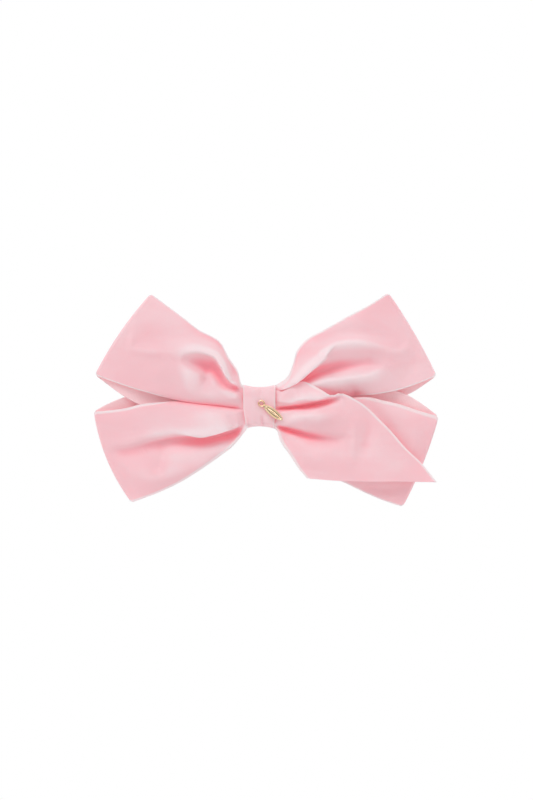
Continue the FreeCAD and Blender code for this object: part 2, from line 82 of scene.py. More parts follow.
WRAP_LOW, WRAP_HIGH = box_mm("centre_wrap")
WRAP_HALF_WIDTH = WRAP_HIGH[0]
WRAP_FRONT = WRAP_LOW[1]
CORE_FRONT = WRAP_FRONT + 1.7           # gathered ribbon under the wrap
CORE_REAR = box_mm("gathering_thread")[1][1] - 0.6
REAR_LIMIT = box_mm("backing_pad")[0][1] - 0.4    # the ribbon stays in front of the felt
RIBBON_WIDTH = 50.0
TAIL_LONG, TAIL_SHORT = 95.0, 33.0      # the tail's two edges, laid flat
WRAP_LENGTH = 62.0                      # ribbon once round the middle
RIBBON_THICK, WRAP_THICK = 0.75, 0.8
CORNER_ALLOWANCE = 1.018                # the outline is drawn this much larger, as its corners are rounded
EDGE_CURL = 3.2                         # how far a ribbon's edge turns back beside the knot
FOLD_ROUND = 1.7                        # half the thickness of a loop's outer fold
CORNER_ROUND = 2.2                      # radius at the corners of the outer fold
CROWN_FRONT, CROWN_REAR = 3.6, 2.6      # how far a layer bulges between its two edges
REAR_INSET = 1.5                        # how far a rear layer is drawn forward near the knot
FROM_FOLD = [0, 10, 20, 32, 48, 62, 78] # distances from the outer fold; the last is the knot's
SWELL = [0, 0.2, 0.5, 1.1, 2.4, 4.6]    # growth of half a loop's depth at all of them but the last
FRONT_COLUMNS, REAR_COLUMNS, ROWS = 220, 110, 110
PLATE_RADIUS, PLATE_THICK = 136.0, 0.8  # the clip plate's rear face is an arc of this radius
THREAD_RADIUS, CHARM_THREAD_RADIUS = 0.25, 0.2
CHARM_PIVOT = np.array([-0.08, -18.9, 2.46])
CHARM_TILT = math.radians(-38.0)
CHARM_ALONG = np.array([math.cos(CHARM_TILT), 0, math.sin(CHARM_TILT)])
CHARM_ACROSS = np.array([-math.sin(CHARM_TILT), 0, math.cos(CHARM_TILT)])
CHARM_RING = 1.38                       # radius of the charm's ring, at the middle of its wire
CHARM_REACH = 15.5                      # the charm swings within this distance of its pivot
CHARM_CLEAR = CHARM_PIVOT[1] + 0.75     # the ribbon stays behind this y there
TOWARDS_REAR = np.array([0, 1.0, 0])
VIEW_HEIGHT = 400.0                     # height that the camera sees at the bow
AMBIENT_LOW, AMBIENT_HIGH, AMBIENT_SIDES = 0.33, 0.75, 0.47
KEY_STRENGTH, FILL_STRENGTH, BACK_STRENGTH = 0.86, 0.46, 0.8


# ---- curves -------------------------------------------------------------------------------
def smooth(t):
    """Eases from 0 to 1 as t goes from 0 to 1."""
    t = np.clip(t, 0, 1)
    return t * t * (3 - 2 * t)


def through(points, at):
    """Smooth curve through the points: a cubic on each span, with each point's slope taken from its
    neighbours. at runs from 0 to 1 in proportion to the straight distance between points."""
    points = np.asarray(points, float)
    steps = np.linalg.norm(np.diff(points, axis=0), axis=1)
    knots = np.concatenate([[0], np.cumsum(steps)]) / steps.sum()
    slopes = np.gradient(points, knots, axis=0)
    at = np.asarray(at, float)
    i = np.clip(np.searchsorted(knots, at, side="right") - 1, 0, len(points) - 2)
    span = (knots[i + 1] - knots[i])[..., None]
    t = (at - knots[i])[..., None] / span
    start, end = points[i], points[i + 1]
    rise = (3 - 2 * t) * t * t
    return (start + (end - start) * rise + slopes[i] * span * t * (1 - t) ** 2
            - slopes[i + 1] * span * t * t * (1 - t))


def spread(values, at):
    """Values spaced evenly from 0 to 1, read off at `at`. A single number stays as it is."""
    if np.isscalar(values):
        return values
    return np.interp(at, np.linspace(0, 1, len(values)), values)


# ---- folds in cloth -----------------------------------------------------------------------
# A fold follows a path drawn from the knot outwards. rise is its height towards the front in mm,
# or its depth if negative. left and right are how far it spreads on each side of the path, seen from
# the front. lean pushes the cloth sideways, to the right of the path, so that a pleat overhangs.
Fold = namedtuple("Fold", "path rise left right lean", defaults=(0.0,))


def press_fold(x, z, fold, far):
    """Height and sideways shift that one fold gives each point. The height is a bell across the path:
    rise x exp(-(distance / spread)^2), where distance is to the nearest point of the path."""
    samples = np.linspace(0, 1, 90)
    path = through(np.array(fold.path) * far, samples)
    tangent = np.gradient(path, axis=0)
    tangent /= np.linalg.norm(tangent, axis=1)[:, None]
    away = np.stack([x, z], axis=-1).reshape(-1, 1, 2) - path
    nearest = np.argmin((away**2).sum(-1), axis=1)
    away = away[np.arange(len(nearest)), nearest]
    along = tangent[nearest]
    side = along[:, 0] * away[:, 1] - along[:, 1] * away[:, 0]
    past = (along * away).sum(-1)
    past = np.where((nearest == 0) | (nearest == len(samples) - 1), past, 0)
    at = samples[nearest]
    reach = np.where(side > 0, spread(fold.left, at), spread(fold.right, at))
    bell = np.exp(-(side**2 + past**2) / reach**2)
    rise = spread(fold.rise, at) * np.ones(len(at))
    height = (rise * bell).reshape(x.shape)
    lean = fold.lean * np.abs(rise) / np.abs(fold.rise).max()
    push = (lean * bell)[:, None] * np.stack([along[:, 1], -along[:, 0]], axis=-1)
    return height, push.reshape(*x.shape, 2)


def press_folds(x, z, folds, far):
    """The heights and shifts of all folds, added up."""
    height = np.zeros(x.shape)
    push = np.zeros((*x.shape, 2))
    for fold in folds:
        more, shift = press_fold(x, z, fold, far)
        height += more
        push += shift
    return height, push


def rumple(x, z, size):
    """Slight unevenness of soft cloth: a sum of long slanted waves, size mm high."""
    waves = [(0.21, 0.13, 0.4), (-0.11, 0.27, 1.9), (0.33, -0.24, 3.1), (0.08, 0.41, 5.2),
             (-0.47, 0.17, 0.9)]
    return size * sum(np.sin(a * x + b * z + c) / (1 + i) for i, (a, b, c) in enumerate(waves)) / 2


def blur(field, reach):
    """Each point averaged with the points around it, from one grid step away to reach steps away."""
    for step in range(1, reach + 1):
        wide = np.pad(field, step, mode="edge")
        core = slice(step, -step)
        field = (wide[:-2 * step, core] + wide[2 * step:, core] + wide[core, :-2 * step]
                 + wide[core, 2 * step:] + 2 * field) / 6
    return field


def under_charm(x, y, z):
    """Presses ribbon flat where the charm swings over it: y is held behind CHARM_CLEAR by a soft limit,
    which fades out beyond the charm's reach."""
    away = np.hypot(x - CHARM_PIVOT[0], z - CHARM_PIVOT[2])
    held = CHARM_CLEAR + 0.25 * np.logaddexp(0, (y - CHARM_CLEAR) / 0.25)
    return y + (held - y) * (1 - smooth((away - CHARM_REACH) / 5))


# ---- meshes -------------------------------------------------------------------------------
def surface(name, points, uv=None, masks=None, ring_rows=False, ring_columns=False, flip=False):
    """A mesh of quads over a grid of points (rows, columns, 3) in mm. ring_rows and ring_columns
    close the grid on itself in that direction."""
    rows, columns = points.shape[:2]
    r, c = np.meshgrid(np.arange(rows - (not ring_rows)), np.arange(columns - (not ring_columns)),
                       indexing="ij")
    r2, c2 = (r + 1) % rows, (c + 1) % columns
    corners = np.stack([r * columns + c, r2 * columns + c, r2 * columns + c2, r * columns + c2], axis=-1)
    corners = corners.reshape(-1, 4)
    if flip:
        corners = corners[:, ::-1]
    mesh = bpy.data.meshes.new(name)
    mesh.vertices.add(rows * columns)
    mesh.vertices.foreach_set("co", (points.reshape(-1, 3) * MM).astype(np.float32).ravel())
    mesh.loops.add(corners.size)
    mesh.loops.foreach_set("vertex_index", corners.ravel().astype(np.int32))
    mesh.polygons.add(len(corners))
    mesh.polygons.foreach_set("loop_start", np.arange(0, corners.size, 4, dtype=np.int32))
    mesh.update(calc_edges=True)
    mesh.validate()
    mesh.shade_smooth()
    if uv is not None:
        layer = mesh.uv_layers.new(name="ribbon")
        layer.data.foreach_set("uv", uv.reshape(-1, 2)[corners.ravel()].astype(np.float32).ravel())
    for key, values in (masks or {}).items():
        attribute = mesh.attributes.new(key, "FLOAT", "POINT")
        attribute.data.foreach_set("value", values.astype(np.float32).ravel())
    piece = bpy.data.objects.new(name, mesh)
    bpy.context.scene.collection.objects.link(piece)
    return piece


def faces_front(points):
    """True if a grid's quads, taken rows first, already face the front."""
    down = np.diff(points, axis=0)[:, :-1]
    across = np.diff(points, axis=1)[:-1]
    return np.cross(down, across)[..., 1].sum() < 0


def thicken(piece, thick):
    """Gives cloth its thickness, inwards, with the piece's second material on the reverse."""
    solid = piece.modifiers.new("thickness", "SOLIDIFY")
    solid.thickness = thick * MM
    solid.offset = -1.0
    solid.use_even_offset = False
    solid.material_offset = 1
    solid.material_offset_rim = 0


def tube(name, path, radius, closed=False, lobes=3, twist=1.6, sides=15, spacing=0.12):
    """A twisted thread: a lobed section carried along the path. Its radius at angle a and length s is
    radius x (1 + 0.14 cos(lobes x a - twist x s / radius))."""
    path = np.asarray(path, float)
    if closed:
        path = np.vstack([path, path[:1]])
    lengths = np.concatenate([[0], np.cumsum(np.linalg.norm(np.diff(path, axis=0), axis=1))])
    count = max(8, int(lengths[-1] / spacing))
    at = np.linspace(0, lengths[-1], count, endpoint=not closed)
    middle = np.stack([np.interp(at, lengths, path[:, i]) for i in range(3)], axis=-1)
    if closed:
        tangent = np.roll(middle, -1, axis=0) - np.roll(middle, 1, axis=0)
    else:
        tangent = np.gradient(middle, axis=0)
    tangent /= np.linalg.norm(tangent, axis=1)[:, None]
    spans = np.ptp(path, axis=0)
    normal = np.eye(3)[np.argmin(spans)] + np.array([1e-3, 2e-3, 3e-3])
    side = np.cross(tangent, normal)
    side /= np.linalg.norm(side, axis=1)[:, None]
    up = np.cross(side, tangent)
    angle = np.linspace(0, 2 * np.pi, sides, endpoint=False)
    if closed:
        turns = round(twist * lengths[-1] / radius / (2 * np.pi))
        turning = 2 * np.pi * turns * at / lengths[-1]
    else:
        turning = twist * at / radius
    swell = radius * (1 + 0.14 * np.cos(lobes * angle[None] - turning[:, None]))
    ring = np.cos(angle)[None, :, None] * side[:, None] + np.sin(angle)[None, :, None] * up[:, None]
    points = middle[:, None] + swell[..., None] * ring
    if not closed:
        ends = middle[[0, -1], None].repeat(sides, 1)
        points = np.concatenate([ends[:1], points, ends[1:]])
    return surface(name, points, ring_rows=closed, ring_columns=True, flip=True)


def join(name, pieces):
    """One object from several meshes."""
    with bpy.context.temp_override(active_object=pieces[0], selected_editable_objects=pieces):
        bpy.ops.object.join()
    pieces[0].name = pieces[0].data.name = name
    return pieces[0]


def stand_in(piece, node, materials, body="bow_and_clip"):
    """Puts a piece in a CAD node's place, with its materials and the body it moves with."""
    for material in materials:
        piece.data.materials.append(material)
    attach(piece, body)
    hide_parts(node)
    return piece


def ribbon(name, node, points, along, across, relief, edge, flip, thick=RIBBON_THICK, ring=False):
    """Velvet ribbon with the pile outside and the woven reverse inside. along and across are the places
    of the grid's rows and columns on the flat ribbon in mm, and make its UV map, in metres."""
    uv = np.stack(np.broadcast_arrays(along[:, None] * MM, across[None] * MM), axis=-1)
    piece = surface(name, points, uv, {"relief": relief, "edge": edge}, ring_rows=ring, flip=flip)
    thicken(piece, thick)
    return stand_in(piece, node, [velvet, reverse])


# ---- ribbon loops -------------------------------------------------------------------------
# rims are the widths in mm of the pale band along the upper and the lower edge: the bare selvedge, with
# painted sheen
Layer = namedtuple("Layer", "upper lower folds rims", defaults=((0.8, 0.8),))
# rear_forward keeps the rear layers of one side apart where they overlap: one stands forward by this
# much, and the other, with a negative value, stands back
Loop = namedtuple("Loop", "node front rear bulge core_front rear_forward")


def lay_layer(layer, far, along, across, bulge):
    """Spreads a layer between its two edges, seen from the front: a point is on the straight line from
    the lower edge to the upper one, and the outer end is bowed outwards by bulge mm."""
    upper = through(np.array(layer.upper) * far, along)
    lower = through(np.array(layer.lower) * far, along)
    flat = lower[:, None] + (upper - lower)[:, None] * across[None, :, None]
    end = upper[-1] - lower[-1]
    outward = np.array([end[1], -end[0]]) / np.linalg.norm(end)
    outward *= np.sign(outward @ (upper[-1] + lower[-1]))
    bow = (4 * across * (1 - across))[None] * (along**5)[:, None] * bulge
    return flat + bow[..., None] * outward


def round_corners(flat, distance, corner):
    """Draws the ribbon's two edges in at the outer fold, as quarter circles of radius corner."""
    inside = np.clip(corner - distance, 0, corner)
    drawn_in = corner - np.sqrt(corner**2 - inside**2)
    width = np.linalg.norm(flat[:, -1] - flat[:, 0], axis=1)
    middle = (flat[:, :1] + flat[:, -1:]) / 2
    return middle + (flat - middle) * (1 - 2 * drawn_in / width)[:, None, None]


def half_depth(distance, knot_depth):
    """Half the depth of a loop at a distance from its outer fold: a half round at the fold, and then
    a slow swell towards the knot."""
    closing = np.clip(1 - distance / FOLD_ROUND, 0, 1)
    roundness = FOLD_ROUND * np.sqrt(1 - closing**2)
    return roundness + np.interp(distance, FROM_FOLD, [*SWELL, knot_depth - FOLD_ROUND])


def selvedge_and_sheen_mask(layer, outer_is_upper, across, width, length):
    """How far each point is from the nearer edge, as a share of that edge's pale band: the bare selvedge,
    with painted sheen. The outer edge's band widens beside the knot as painted sheen where the edge turns
    back, and the inner edge's is tucked away there."""
    to_upper = (1 - across)[None] * width / layer.rims[0]
    to_lower = across[None] * width / layer.rims[1]
    outer, inner = (to_upper, to_lower) if outer_is_upper else (to_lower, to_upper)
    sheen_widening = 1 + 2.2 * np.exp(-length / 14.0)[:, None]
    tucked = 1.6 * (1 - smooth((length - 22) / 26))[:, None]
    return np.minimum(outer / sheen_widening, inner + tucked)


def shape_layer(loop, layer, far, facing):
    """One layer of a loop from the knot to the outer fold: a grid of points, the masks for its velvet
    and the length along it. facing is -1 for the front layer and 1 for the rear one."""
    front = facing < 0
    across = np.linspace(0, 1, ROWS)
    steps = np.linspace(0, 1, FRONT_COLUMNS if front else REAR_COLUMNS)
    along = 1 - (1 - steps) ** 1.5      # closer together towards the outer fold
    flat = lay_layer(layer, far, along, across, loop.bulge)
    length = np.linalg.norm(np.diff(flat[:, ROWS // 2], axis=0), axis=1)
    length = np.concatenate([[0], np.cumsum(length)])
    distance = length[-1] - length
    flat = round_corners(flat, distance, CORNER_ROUND)
    x, z = flat[..., 0], flat[..., 1]
    width = np.linalg.norm(flat[:, -1] - flat[:, 0], axis=1)[:, None]
    height, push = press_folds(x, z, layer.folds, far)
    height += rumple(x, z, 0.22)
    crown = (CROWN_FRONT if front else CROWN_REAR) * smooth(distance / 36) * smooth(length / 20)
    height += 4 * (across * (1 - across))[None] * crown[:, None]
    free = smooth((np.abs(x) - WRAP_HALF_WIDTH + 1.0) / 6.0) * smooth(distance / 9)[:, None]
    # relief paints shade into the velvet's creases and a highlight onto its ridges, more strongly near the
    # knot
    relief = (height - blur(height, 12)) * free * (1 + 0.4 * np.exp(-length / 12.0)[:, None])
    inside = np.minimum(across, 1 - across)[None] * width
    height -= EDGE_CURL * np.clip(1 - inside / EDGE_CURL, 0, 1) ** 2 * np.exp(-length / 22.0)[:, None]
    height, push = height * free, push * free[..., None]
    depth = half_depth(distance, (CORE_REAR - loop.core_front) / 2)
    if not front:
        away_from_knot = smooth((length - 4) / 10)
        depth -= loop.rear_forward * smooth((distance - 5) / 10) * away_from_knot
        depth -= REAR_INSET * smooth((distance - 20) / 26) * away_from_knot
    y = (loop.core_front + CORE_REAR) / 2 + facing * (depth[:, None] + height)
    if front:
        y = under_charm(x, y, z)
    else:
        y = REAR_LIMIT - 0.5 * np.logaddexp(0, (REAR_LIMIT - y) / 0.5)
    grid = np.stack([x + push[..., 0], y, z + push[..., 1]], axis=-1)
    return grid, relief, selvedge_and_sheen_mask(layer, far[1] > 0, across, width, length), length


def make_loop(name, loop):
    """A ribbon loop: one ribbon that leaves the knot in front, turns at the outer fold and comes back
    behind. Its folds are pressed into each layer, and fade out at the fold and under the wrap."""
    far = far_corner(loop.node) * CORNER_ALLOWANCE
    front = shape_layer(loop, loop.front, far, -1)
    rear = shape_layer(loop, loop.rear, far, 1)
    points, relief, edge = (np.concatenate([f, r[::-1][1:]]) for f, r in zip(front[:3], rear[:3]))
    run = np.concatenate([front[3], (2 * rear[3][-1] - rear[3])[::-1][1:]])
    piece = ribbon(name, loop.node, points, run, np.linspace(0, 1, ROWS) * RIBBON_WIDTH, relief, edge,
                   flip=not faces_front(front[0]))


UPPER_LEFT = Loop(
    node="loop_upper_left",
    front=Layer(
        upper=[(0.06, 0.15), (0.10, 0.19), (0.127, 0.304), (0.18, 0.429), (0.235, 0.566),
            (0.369, 0.679), (0.454, 0.777), (0.655, 0.995)],
        lower=[(0.06, -0.015), (0.10, -0.018), (0.222, 0.0), (0.436, 0.039), (0.631, 0.107),
            (0.765, 0.163), (0.99, 0.28)],
        folds=[
            Fold([(0.07, 0.15), (0.107, 0.18), (0.18, 0.27), (0.215, 0.37), (0.25, 0.445),
                (0.308, 0.49), (0.393, 0.51), (0.478, 0.465), (0.52, 0.41)],
                [2.0, 3.4, 4.6, 4.8, 4.4, 3.8, 3.0, 1.6, 0], [1.3, 1.5, 2.0, 3.0, 3.4],
                [2.2, 2.8, 4.0, 5.5], -1.3),
            Fold([(0.47, 0.42), (0.40, 0.385), (0.34, 0.36), (0.28, 0.335), (0.245, 0.28),
                (0.213, 0.205), (0.16, 0.155), (0.10, 0.115)],
                [-0.3, -2.6, -3.6, -3.8, -3.8, -3.4, -2.6, -1.2], [3.6, 3.6, 2.6, 1.1],
                [3.2, 3.2, 2.4, 1.1]),
            Fold([(0.315, 0.31), (0.32, 0.25), (0.322, 0.17)], [-1.2, -2.0, -0.2], 2.2, 2.2),
            Fold([(0.43, 0.34), (0.42, 0.18)], 1.7, 6.0, 5.0),
            Fold([(0.24, 0.19), (0.20, 0.14), (0.14, 0.10), (0.08, 0.06)], [0.2, 1.6, 2.2, 1.6], 2.6,
                2.8),
            Fold([(0.40, 0.10), (0.27, 0.08), (0.18, 0.05)], [0.4, 1.4, 1.0], 3.4, 3.2),
            Fold([(0.765, 0.74), (0.767, 0.62), (0.765, 0.52), (0.69, 0.491), (0.54, 0.491)],
                [0.2, 0.9, 0.9, 1.0, 0.3], 2.4, 2.6),
            Fold([(0.175, 0.37), (0.155, 0.27), (0.135, 0.18)], [-0.6, -1.6, -1.6], 1.5, 1.5),
            Fold([(0.66, 0.62), (0.54, 0.60)], -0.8, 5.0, 5.0),
            Fold([(0.78, 0.27), (0.60, 0.23), (0.45, 0.15)], [-0.4, -1.0, -0.6], 6.0, 6.0),
            Fold([(0.72, 0.36), (0.60, 0.38)], [-0.3, -0.9], 4.0, 4.0),
        ],
        rims=(0.5, 0.7),
    ),
    rear=Layer(
        upper=[(0.06, 0.14), (0.10, 0.18), (0.14, 0.30), (0.20, 0.43), (0.26, 0.56), (0.38, 0.67),
            (0.46, 0.76), (0.655, 0.995)],
        lower=[(0.06, -0.03), (0.10, -0.04), (0.363, -0.03), (0.576, -0.018), (0.741, 0.027),
            (0.802, 0.08), (0.99, 0.28)],
        folds=[
            Fold([(0.08, 0.12), (0.30, 0.40), (0.55, 0.70)], [2.2, 1.8, 0], 3.0, 3.0),
            Fold([(0.08, 0.07), (0.30, 0.22), (0.60, 0.42)], [-2.0, -1.6, 0], 3.2, 3.2),
            Fold([(0.08, 0.02), (0.35, 0.10), (0.65, 0.22)], [1.8, 1.5, 0], 3.4, 3.4),
        ],
    ),
    bulge=1.6,
    core_front=CORE_FRONT,
    rear_forward=1.1,
)

LOWER_LEFT = Loop(
    node="loop_lower_left",
    front=Layer(
        upper=[(0.06, 0.01), (0.10, 0.005), (0.221, -0.022), (0.433, -0.06), (0.597, -0.046),
            (0.718, -0.021), (0.779, 0.008), (0.906, 0.040), (0.993, 0.053)],
        lower=[(0.06, 0.19), (0.085, 0.25), (0.161, 0.411), (0.223, 0.495), (0.348, 0.648),
            (0.47, 0.779), (0.597, 0.884), (0.768, 0.995)],
        folds=[
            Fold([(0.08, 0.165), (0.106, 0.17), (0.179, 0.19), (0.264, 0.235), (0.367, 0.27),
                (0.439, 0.255), (0.497, 0.235), (0.55, 0.215)], [1.4, 2.2, 2.7, 2.8, 2.6, 1.7, 0.6, 0],
                [0.7, 0.75, 1.0, 3.0], [4.5, 7.0, 9.0, 7.0], -2.6),
            Fold([(0.10, 0.22), (0.15, 0.265), (0.227, 0.295), (0.33, 0.32), (0.42, 0.33),
                (0.512, 0.34), (0.62, 0.38), (0.767, 0.455), (0.92, 0.475)],
                [-4.0, -6.4, -6.4, -6.0, -5.4, -4.4, -2.8, -1.9, -0.6], [2.0, 4.2, 5.2, 5.4, 3.2],
                [1.3, 1.7, 2.0, 3.2, 2.4]),
            Fold([(0.58, 0.48), (0.605, 0.62)], [-1.0, -1.4], 4.0, 4.0),
            Fold([(0.86, 0.62), (0.70, 0.72), (0.52, 0.70), (0.34, 0.60), (0.22, 0.46)],
                [0.3, 1.6, 2.2, 2.0, 1.0], 6.0, 5.5),
            Fold([(0.08, 0.225), (0.12, 0.32), (0.175, 0.42), (0.24, 0.51)], [1.6, 3.0, 2.4, 0.8], 1.4,
                1.5),
            Fold([(0.06, -0.01), (0.30, -0.05), (0.52, -0.07)], [-2.8, -2.6, -0.6], 1.8, 1.8),
            Fold([(0.12, 0.07), (0.30, 0.08), (0.48, 0.06)], [0.8, 1.4, 0.4], 4.0, 4.0),
            Fold([(0.90, 0.30), (0.74, 0.26), (0.60, 0.18)], [-0.3, -0.8, -0.5], 4.5, 4.5),
        ],
        rims=(1.4, 1.0),
    ),
    rear=Layer(
        upper=[(0.06, 0.0), (0.10, -0.01), (0.361, -0.084), (0.603, -0.147), (0.809, -0.099),
            (0.90, -0.035), (0.993, 0.053)],
        lower=[(0.06, 0.18), (0.09, 0.24), (0.17, 0.40), (0.23, 0.485), (0.35, 0.635), (0.47, 0.765),
            (0.60, 0.875), (0.768, 0.995)],
        folds=[
            Fold([(0.08, 0.16), (0.28, 0.46), (0.50, 0.72)], [2.0, 1.8, 0], 3.0, 3.0),
            Fold([(0.08, 0.10), (0.32, 0.26), (0.62, 0.44)], [-2.0, -1.6, 0], 3.2, 3.2),
            Fold([(0.08, 0.04), (0.36, 0.08), (0.70, 0.16)], [1.8, 1.4, 0], 3.2, 3.2),
        ],
    ),
    bulge=2.9,
    core_front=CORE_FRONT,
    rear_forward=-0.9,
)

UPPER_RIGHT = Loop(
    node="loop_upper_right",
    front=Layer(
        upper=[(0.055, 0.15), (0.088, 0.187), (0.149, 0.258), (0.188, 0.383), (0.204, 0.472),
            (0.234, 0.543), (0.279, 0.605), (0.338, 0.653), (0.486, 0.783), (0.616, 0.892),
            (0.722, 1.0)],
        lower=[(0.055, -0.01), (0.111, -0.012), (0.23, 0.009), (0.401, 0.053), (0.526, 0.089),
            (0.685, 0.116), (0.781, 0.147), (0.878, 0.198), (0.993, 0.27)],
        folds=[
            Fold([(0.08, 0.13), (0.111, 0.15), (0.215, 0.245), (0.262, 0.31), (0.31, 0.375),
                (0.35, 0.43)], [1.6, 3.0, 4.8, 5.2, 4.8, 3.6], [2.4, 3.6, 4.8, 5.0],
                [0.9, 1.0, 1.2, 1.8], 1.6),
            Fold([(0.36, 0.46), (0.40, 0.515), (0.47, 0.55), (0.554, 0.56), (0.685, 0.52),
                (0.781, 0.484), (0.83, 0.53), (0.85, 0.62)], [2.1, 2.2, 2.0, 1.7, 1.3, 1.0, 0.8, 0.2],
                2.4, [3.0, 3.2, 3.2, 2.6]),
            Fold([(0.33, 0.60), (0.45, 0.655), (0.58, 0.66), (0.70, 0.62)], [-0.6, -1.2, -1.2, -0.3],
                3.2, 3.0),
            Fold([(0.19, 0.17), (0.25, 0.235), (0.327, 0.295), (0.423, 0.335), (0.52, 0.365),
                (0.616, 0.385), (0.70, 0.37)], [-1.6, -4.6, -5.0, -4.4, -3.4, -2.4, -0.2],
                [1.6, 3.4, 4.2, 4.4], [1.0, 2.2, 2.6, 2.4, 2.4]),
            Fold([(0.23, 0.12), (0.29, 0.18), (0.36, 0.215), (0.44, 0.23), (0.52, 0.245), (0.62, 0.275),
                (0.71, 0.355)], [0.6, 1.6, 1.9, 1.9, 1.9, 1.7, 0.4], 2.0, [3.0, 5.4, 5.4]),
            Fold([(0.50, 0.17), (0.545, 0.10), (0.60, 0.07)], [-0.6, -2.2, -0.8], 2.8, 2.6),
            Fold([(0.80, 0.25), (0.87, 0.38)], -0.8, 4.5, 4.5),
            Fold([(0.62, 0.80), (0.78, 0.70)], -0.5, 6.0, 6.0),
            Fold([(0.09, -0.02), (0.25, -0.02), (0.40, -0.02)], -4.6, 3.4, 6.0),
            Fold([(0.36, 0.115), (0.44, 0.085), (0.52, 0.095)], [-0.4, -1.6, -1.2], 1.8, 2.2),
        ],
    ),
    rear=Layer(
        upper=[(0.055, 0.14), (0.09, 0.178), (0.155, 0.25), (0.20, 0.38), (0.22, 0.465), (0.25, 0.53),
            (0.29, 0.59), (0.345, 0.64), (0.49, 0.77), (0.618, 0.885), (0.722, 1.0)],
        lower=[(0.055, -0.02), (0.111, -0.03), (0.401, 0.02), (0.685, 0.04), (0.83, 0.105),
            (0.993, 0.27)],
        folds=[
            Fold([(0.08, 0.12), (0.28, 0.40), (0.52, 0.70)], [2.2, 1.8, 0], 3.0, 3.0),
            Fold([(0.08, 0.08), (0.32, 0.24), (0.62, 0.44)], [-2.0, -1.6, 0], 3.2, 3.2),
            Fold([(0.08, 0.02), (0.35, 0.10), (0.66, 0.22)], [1.8, 1.5, 0], 3.4, 3.4),
        ],
    ),
    bulge=1.0,
    core_front=CORE_FRONT + 1.8,
    rear_forward=-0.9,
)

LOWER_RIGHT = Loop(
    node="loop_lower_right",
    front=Layer(
        upper=[(0.055, 0.0), (0.109, 0.0), (0.394, -0.06), (0.612, -0.091), (0.684, -0.06),
            (0.757, -0.03), (0.858, 0.03), (0.988, 0.10)],
        lower=[(0.055, 0.16), (0.08, 0.20), (0.17, 0.44), (0.338, 0.65), (0.487, 0.772), (0.573, 0.848),
            (0.684, 0.934), (0.79, 0.995)],
        folds=[
            Fold([(0.62, 0.0), (0.70, 0.22), (0.78, 0.46)], [-1.2, -1.4, -0.4], 4.0, 4.0),
            Fold([(0.08, 0.08), (0.25, 0.20), (0.45, 0.32)], [-5.0, -6.4, -3.2], 13.0, 13.0),
            Fold([(0.86, 0.12), (0.84, 0.40), (0.76, 0.70)], [0.7, 0.9, 0.4], 5.0, 5.0),
            Fold([(0.60, 0.80), (0.70, 0.83), (0.78, 0.80)], [-0.6, -0.9, -0.3], 3.0, 3.0),
        ],
        rims=(1.8, 0.7),
    ),
    rear=Layer(
        upper=[(0.055, 0.0), (0.12, -0.03), (0.45, -0.141), (0.673, -0.205), (0.755, -0.162),
            (0.824, -0.107), (0.90, -0.02), (0.988, 0.10)],
        lower=[(0.055, 0.15), (0.085, 0.19), (0.175, 0.43), (0.34, 0.635), (0.487, 0.76),
            (0.573, 0.835), (0.684, 0.922), (0.79, 0.995)],
        folds=[
            Fold([(0.08, 0.14), (0.28, 0.44), (0.52, 0.70)], [2.0, 1.8, 0], 3.0, 3.0),
            Fold([(0.08, 0.09), (0.32, 0.26), (0.62, 0.44)], [-2.0, -1.6, 0], 3.2, 3.2),
            Fold([(0.08, 0.03), (0.36, 0.06), (0.70, 0.12)], [1.8, 1.4, 0], 3.2, 3.2),
        ],
    ),
    bulge=1.3,
    core_front=CORE_FRONT + 1.8,
    rear_forward=1.1,
)

TAIL_UPPER = [(0.055, -0.20), (0.088, -0.223), (0.12, -0.205), (0.173, -0.262), (0.246, -0.331),
    (0.30, -0.288), (0.348, -0.229), (0.411, -0.150), (0.473, -0.165), (0.529, -0.109), (0.609, 0.013),
    (0.66, 0.131), (0.739, 0.314), (0.818, 0.524), (0.917, 0.746), (1.0, 0.985)]
TAIL_LOWER = [(0.055, 0.20), (0.085, 0.255), (0.119, 0.452), (0.178, 0.654), (0.232, 0.838),
    (0.268, 0.93)]
TAIL_FOLDS = [
    Fold([(0.08, -0.08), (0.16, -0.10), (0.25, -0.13), (0.34, -0.13), (0.42, -0.15)],
        [1.8, 2.8, 3.2, 2.8, 0.6], [3.6, 5.0, 5.4, 3.0], [1.4, 1.8, 2.0, 1.6], 1.0),
    Fold([(0.09, 0.03), (0.173, 0.015), (0.252, -0.005), (0.314, -0.035), (0.379, -0.075),
        (0.455, -0.11)], [-3.4, -5.0, -5.6, -5.8, -4.6, -1.0], [0.8, 1.1, 1.5, 1.6],
        [0.9, 1.2, 1.7, 2.0]),
    Fold([(0.08, 0.13), (0.20, 0.14), (0.34, 0.13), (0.46, 0.10)], [2.0, 3.2, 3.2, 1.0], 3.4, 4.4),
    Fold([(0.09, 0.25), (0.15, 0.29), (0.205, 0.325), (0.269, 0.37), (0.331, 0.40), (0.42, 0.42),
        (0.50, 0.40)], [-3.0, -4.8, -4.8, -4.2, -3.6, -2.4, -0.6], [0.8, 1.4, 2.4, 3.0],
        [1.0, 2.2, 3.4, 4.0]),
    Fold([(0.60, 0.12), (0.615, 0.22), (0.60, 0.45), (0.575, 0.70)], [-0.6, -1.4, -1.6, -0.4], 4.0,
        4.0),
    Fold([(0.525, 0.22), (0.525, 0.445), (0.515, 0.68)], [0.4, 0.9, 0.5], 2.8, 2.6),
    Fold([(0.20, 0.57), (0.32, 0.68), (0.42, 0.76)], [1.0, 2.0, 1.0], 6.0, 6.0),
    Fold([(0.08, 0.24), (0.13, 0.47), (0.17, 0.60)], [0.8, 1.4, 0.4], 1.2, 1.2),
    Fold([(0.72, 0.42), (0.82, 0.74)], [-0.4, -0.6], 4.0, 4.0),
]


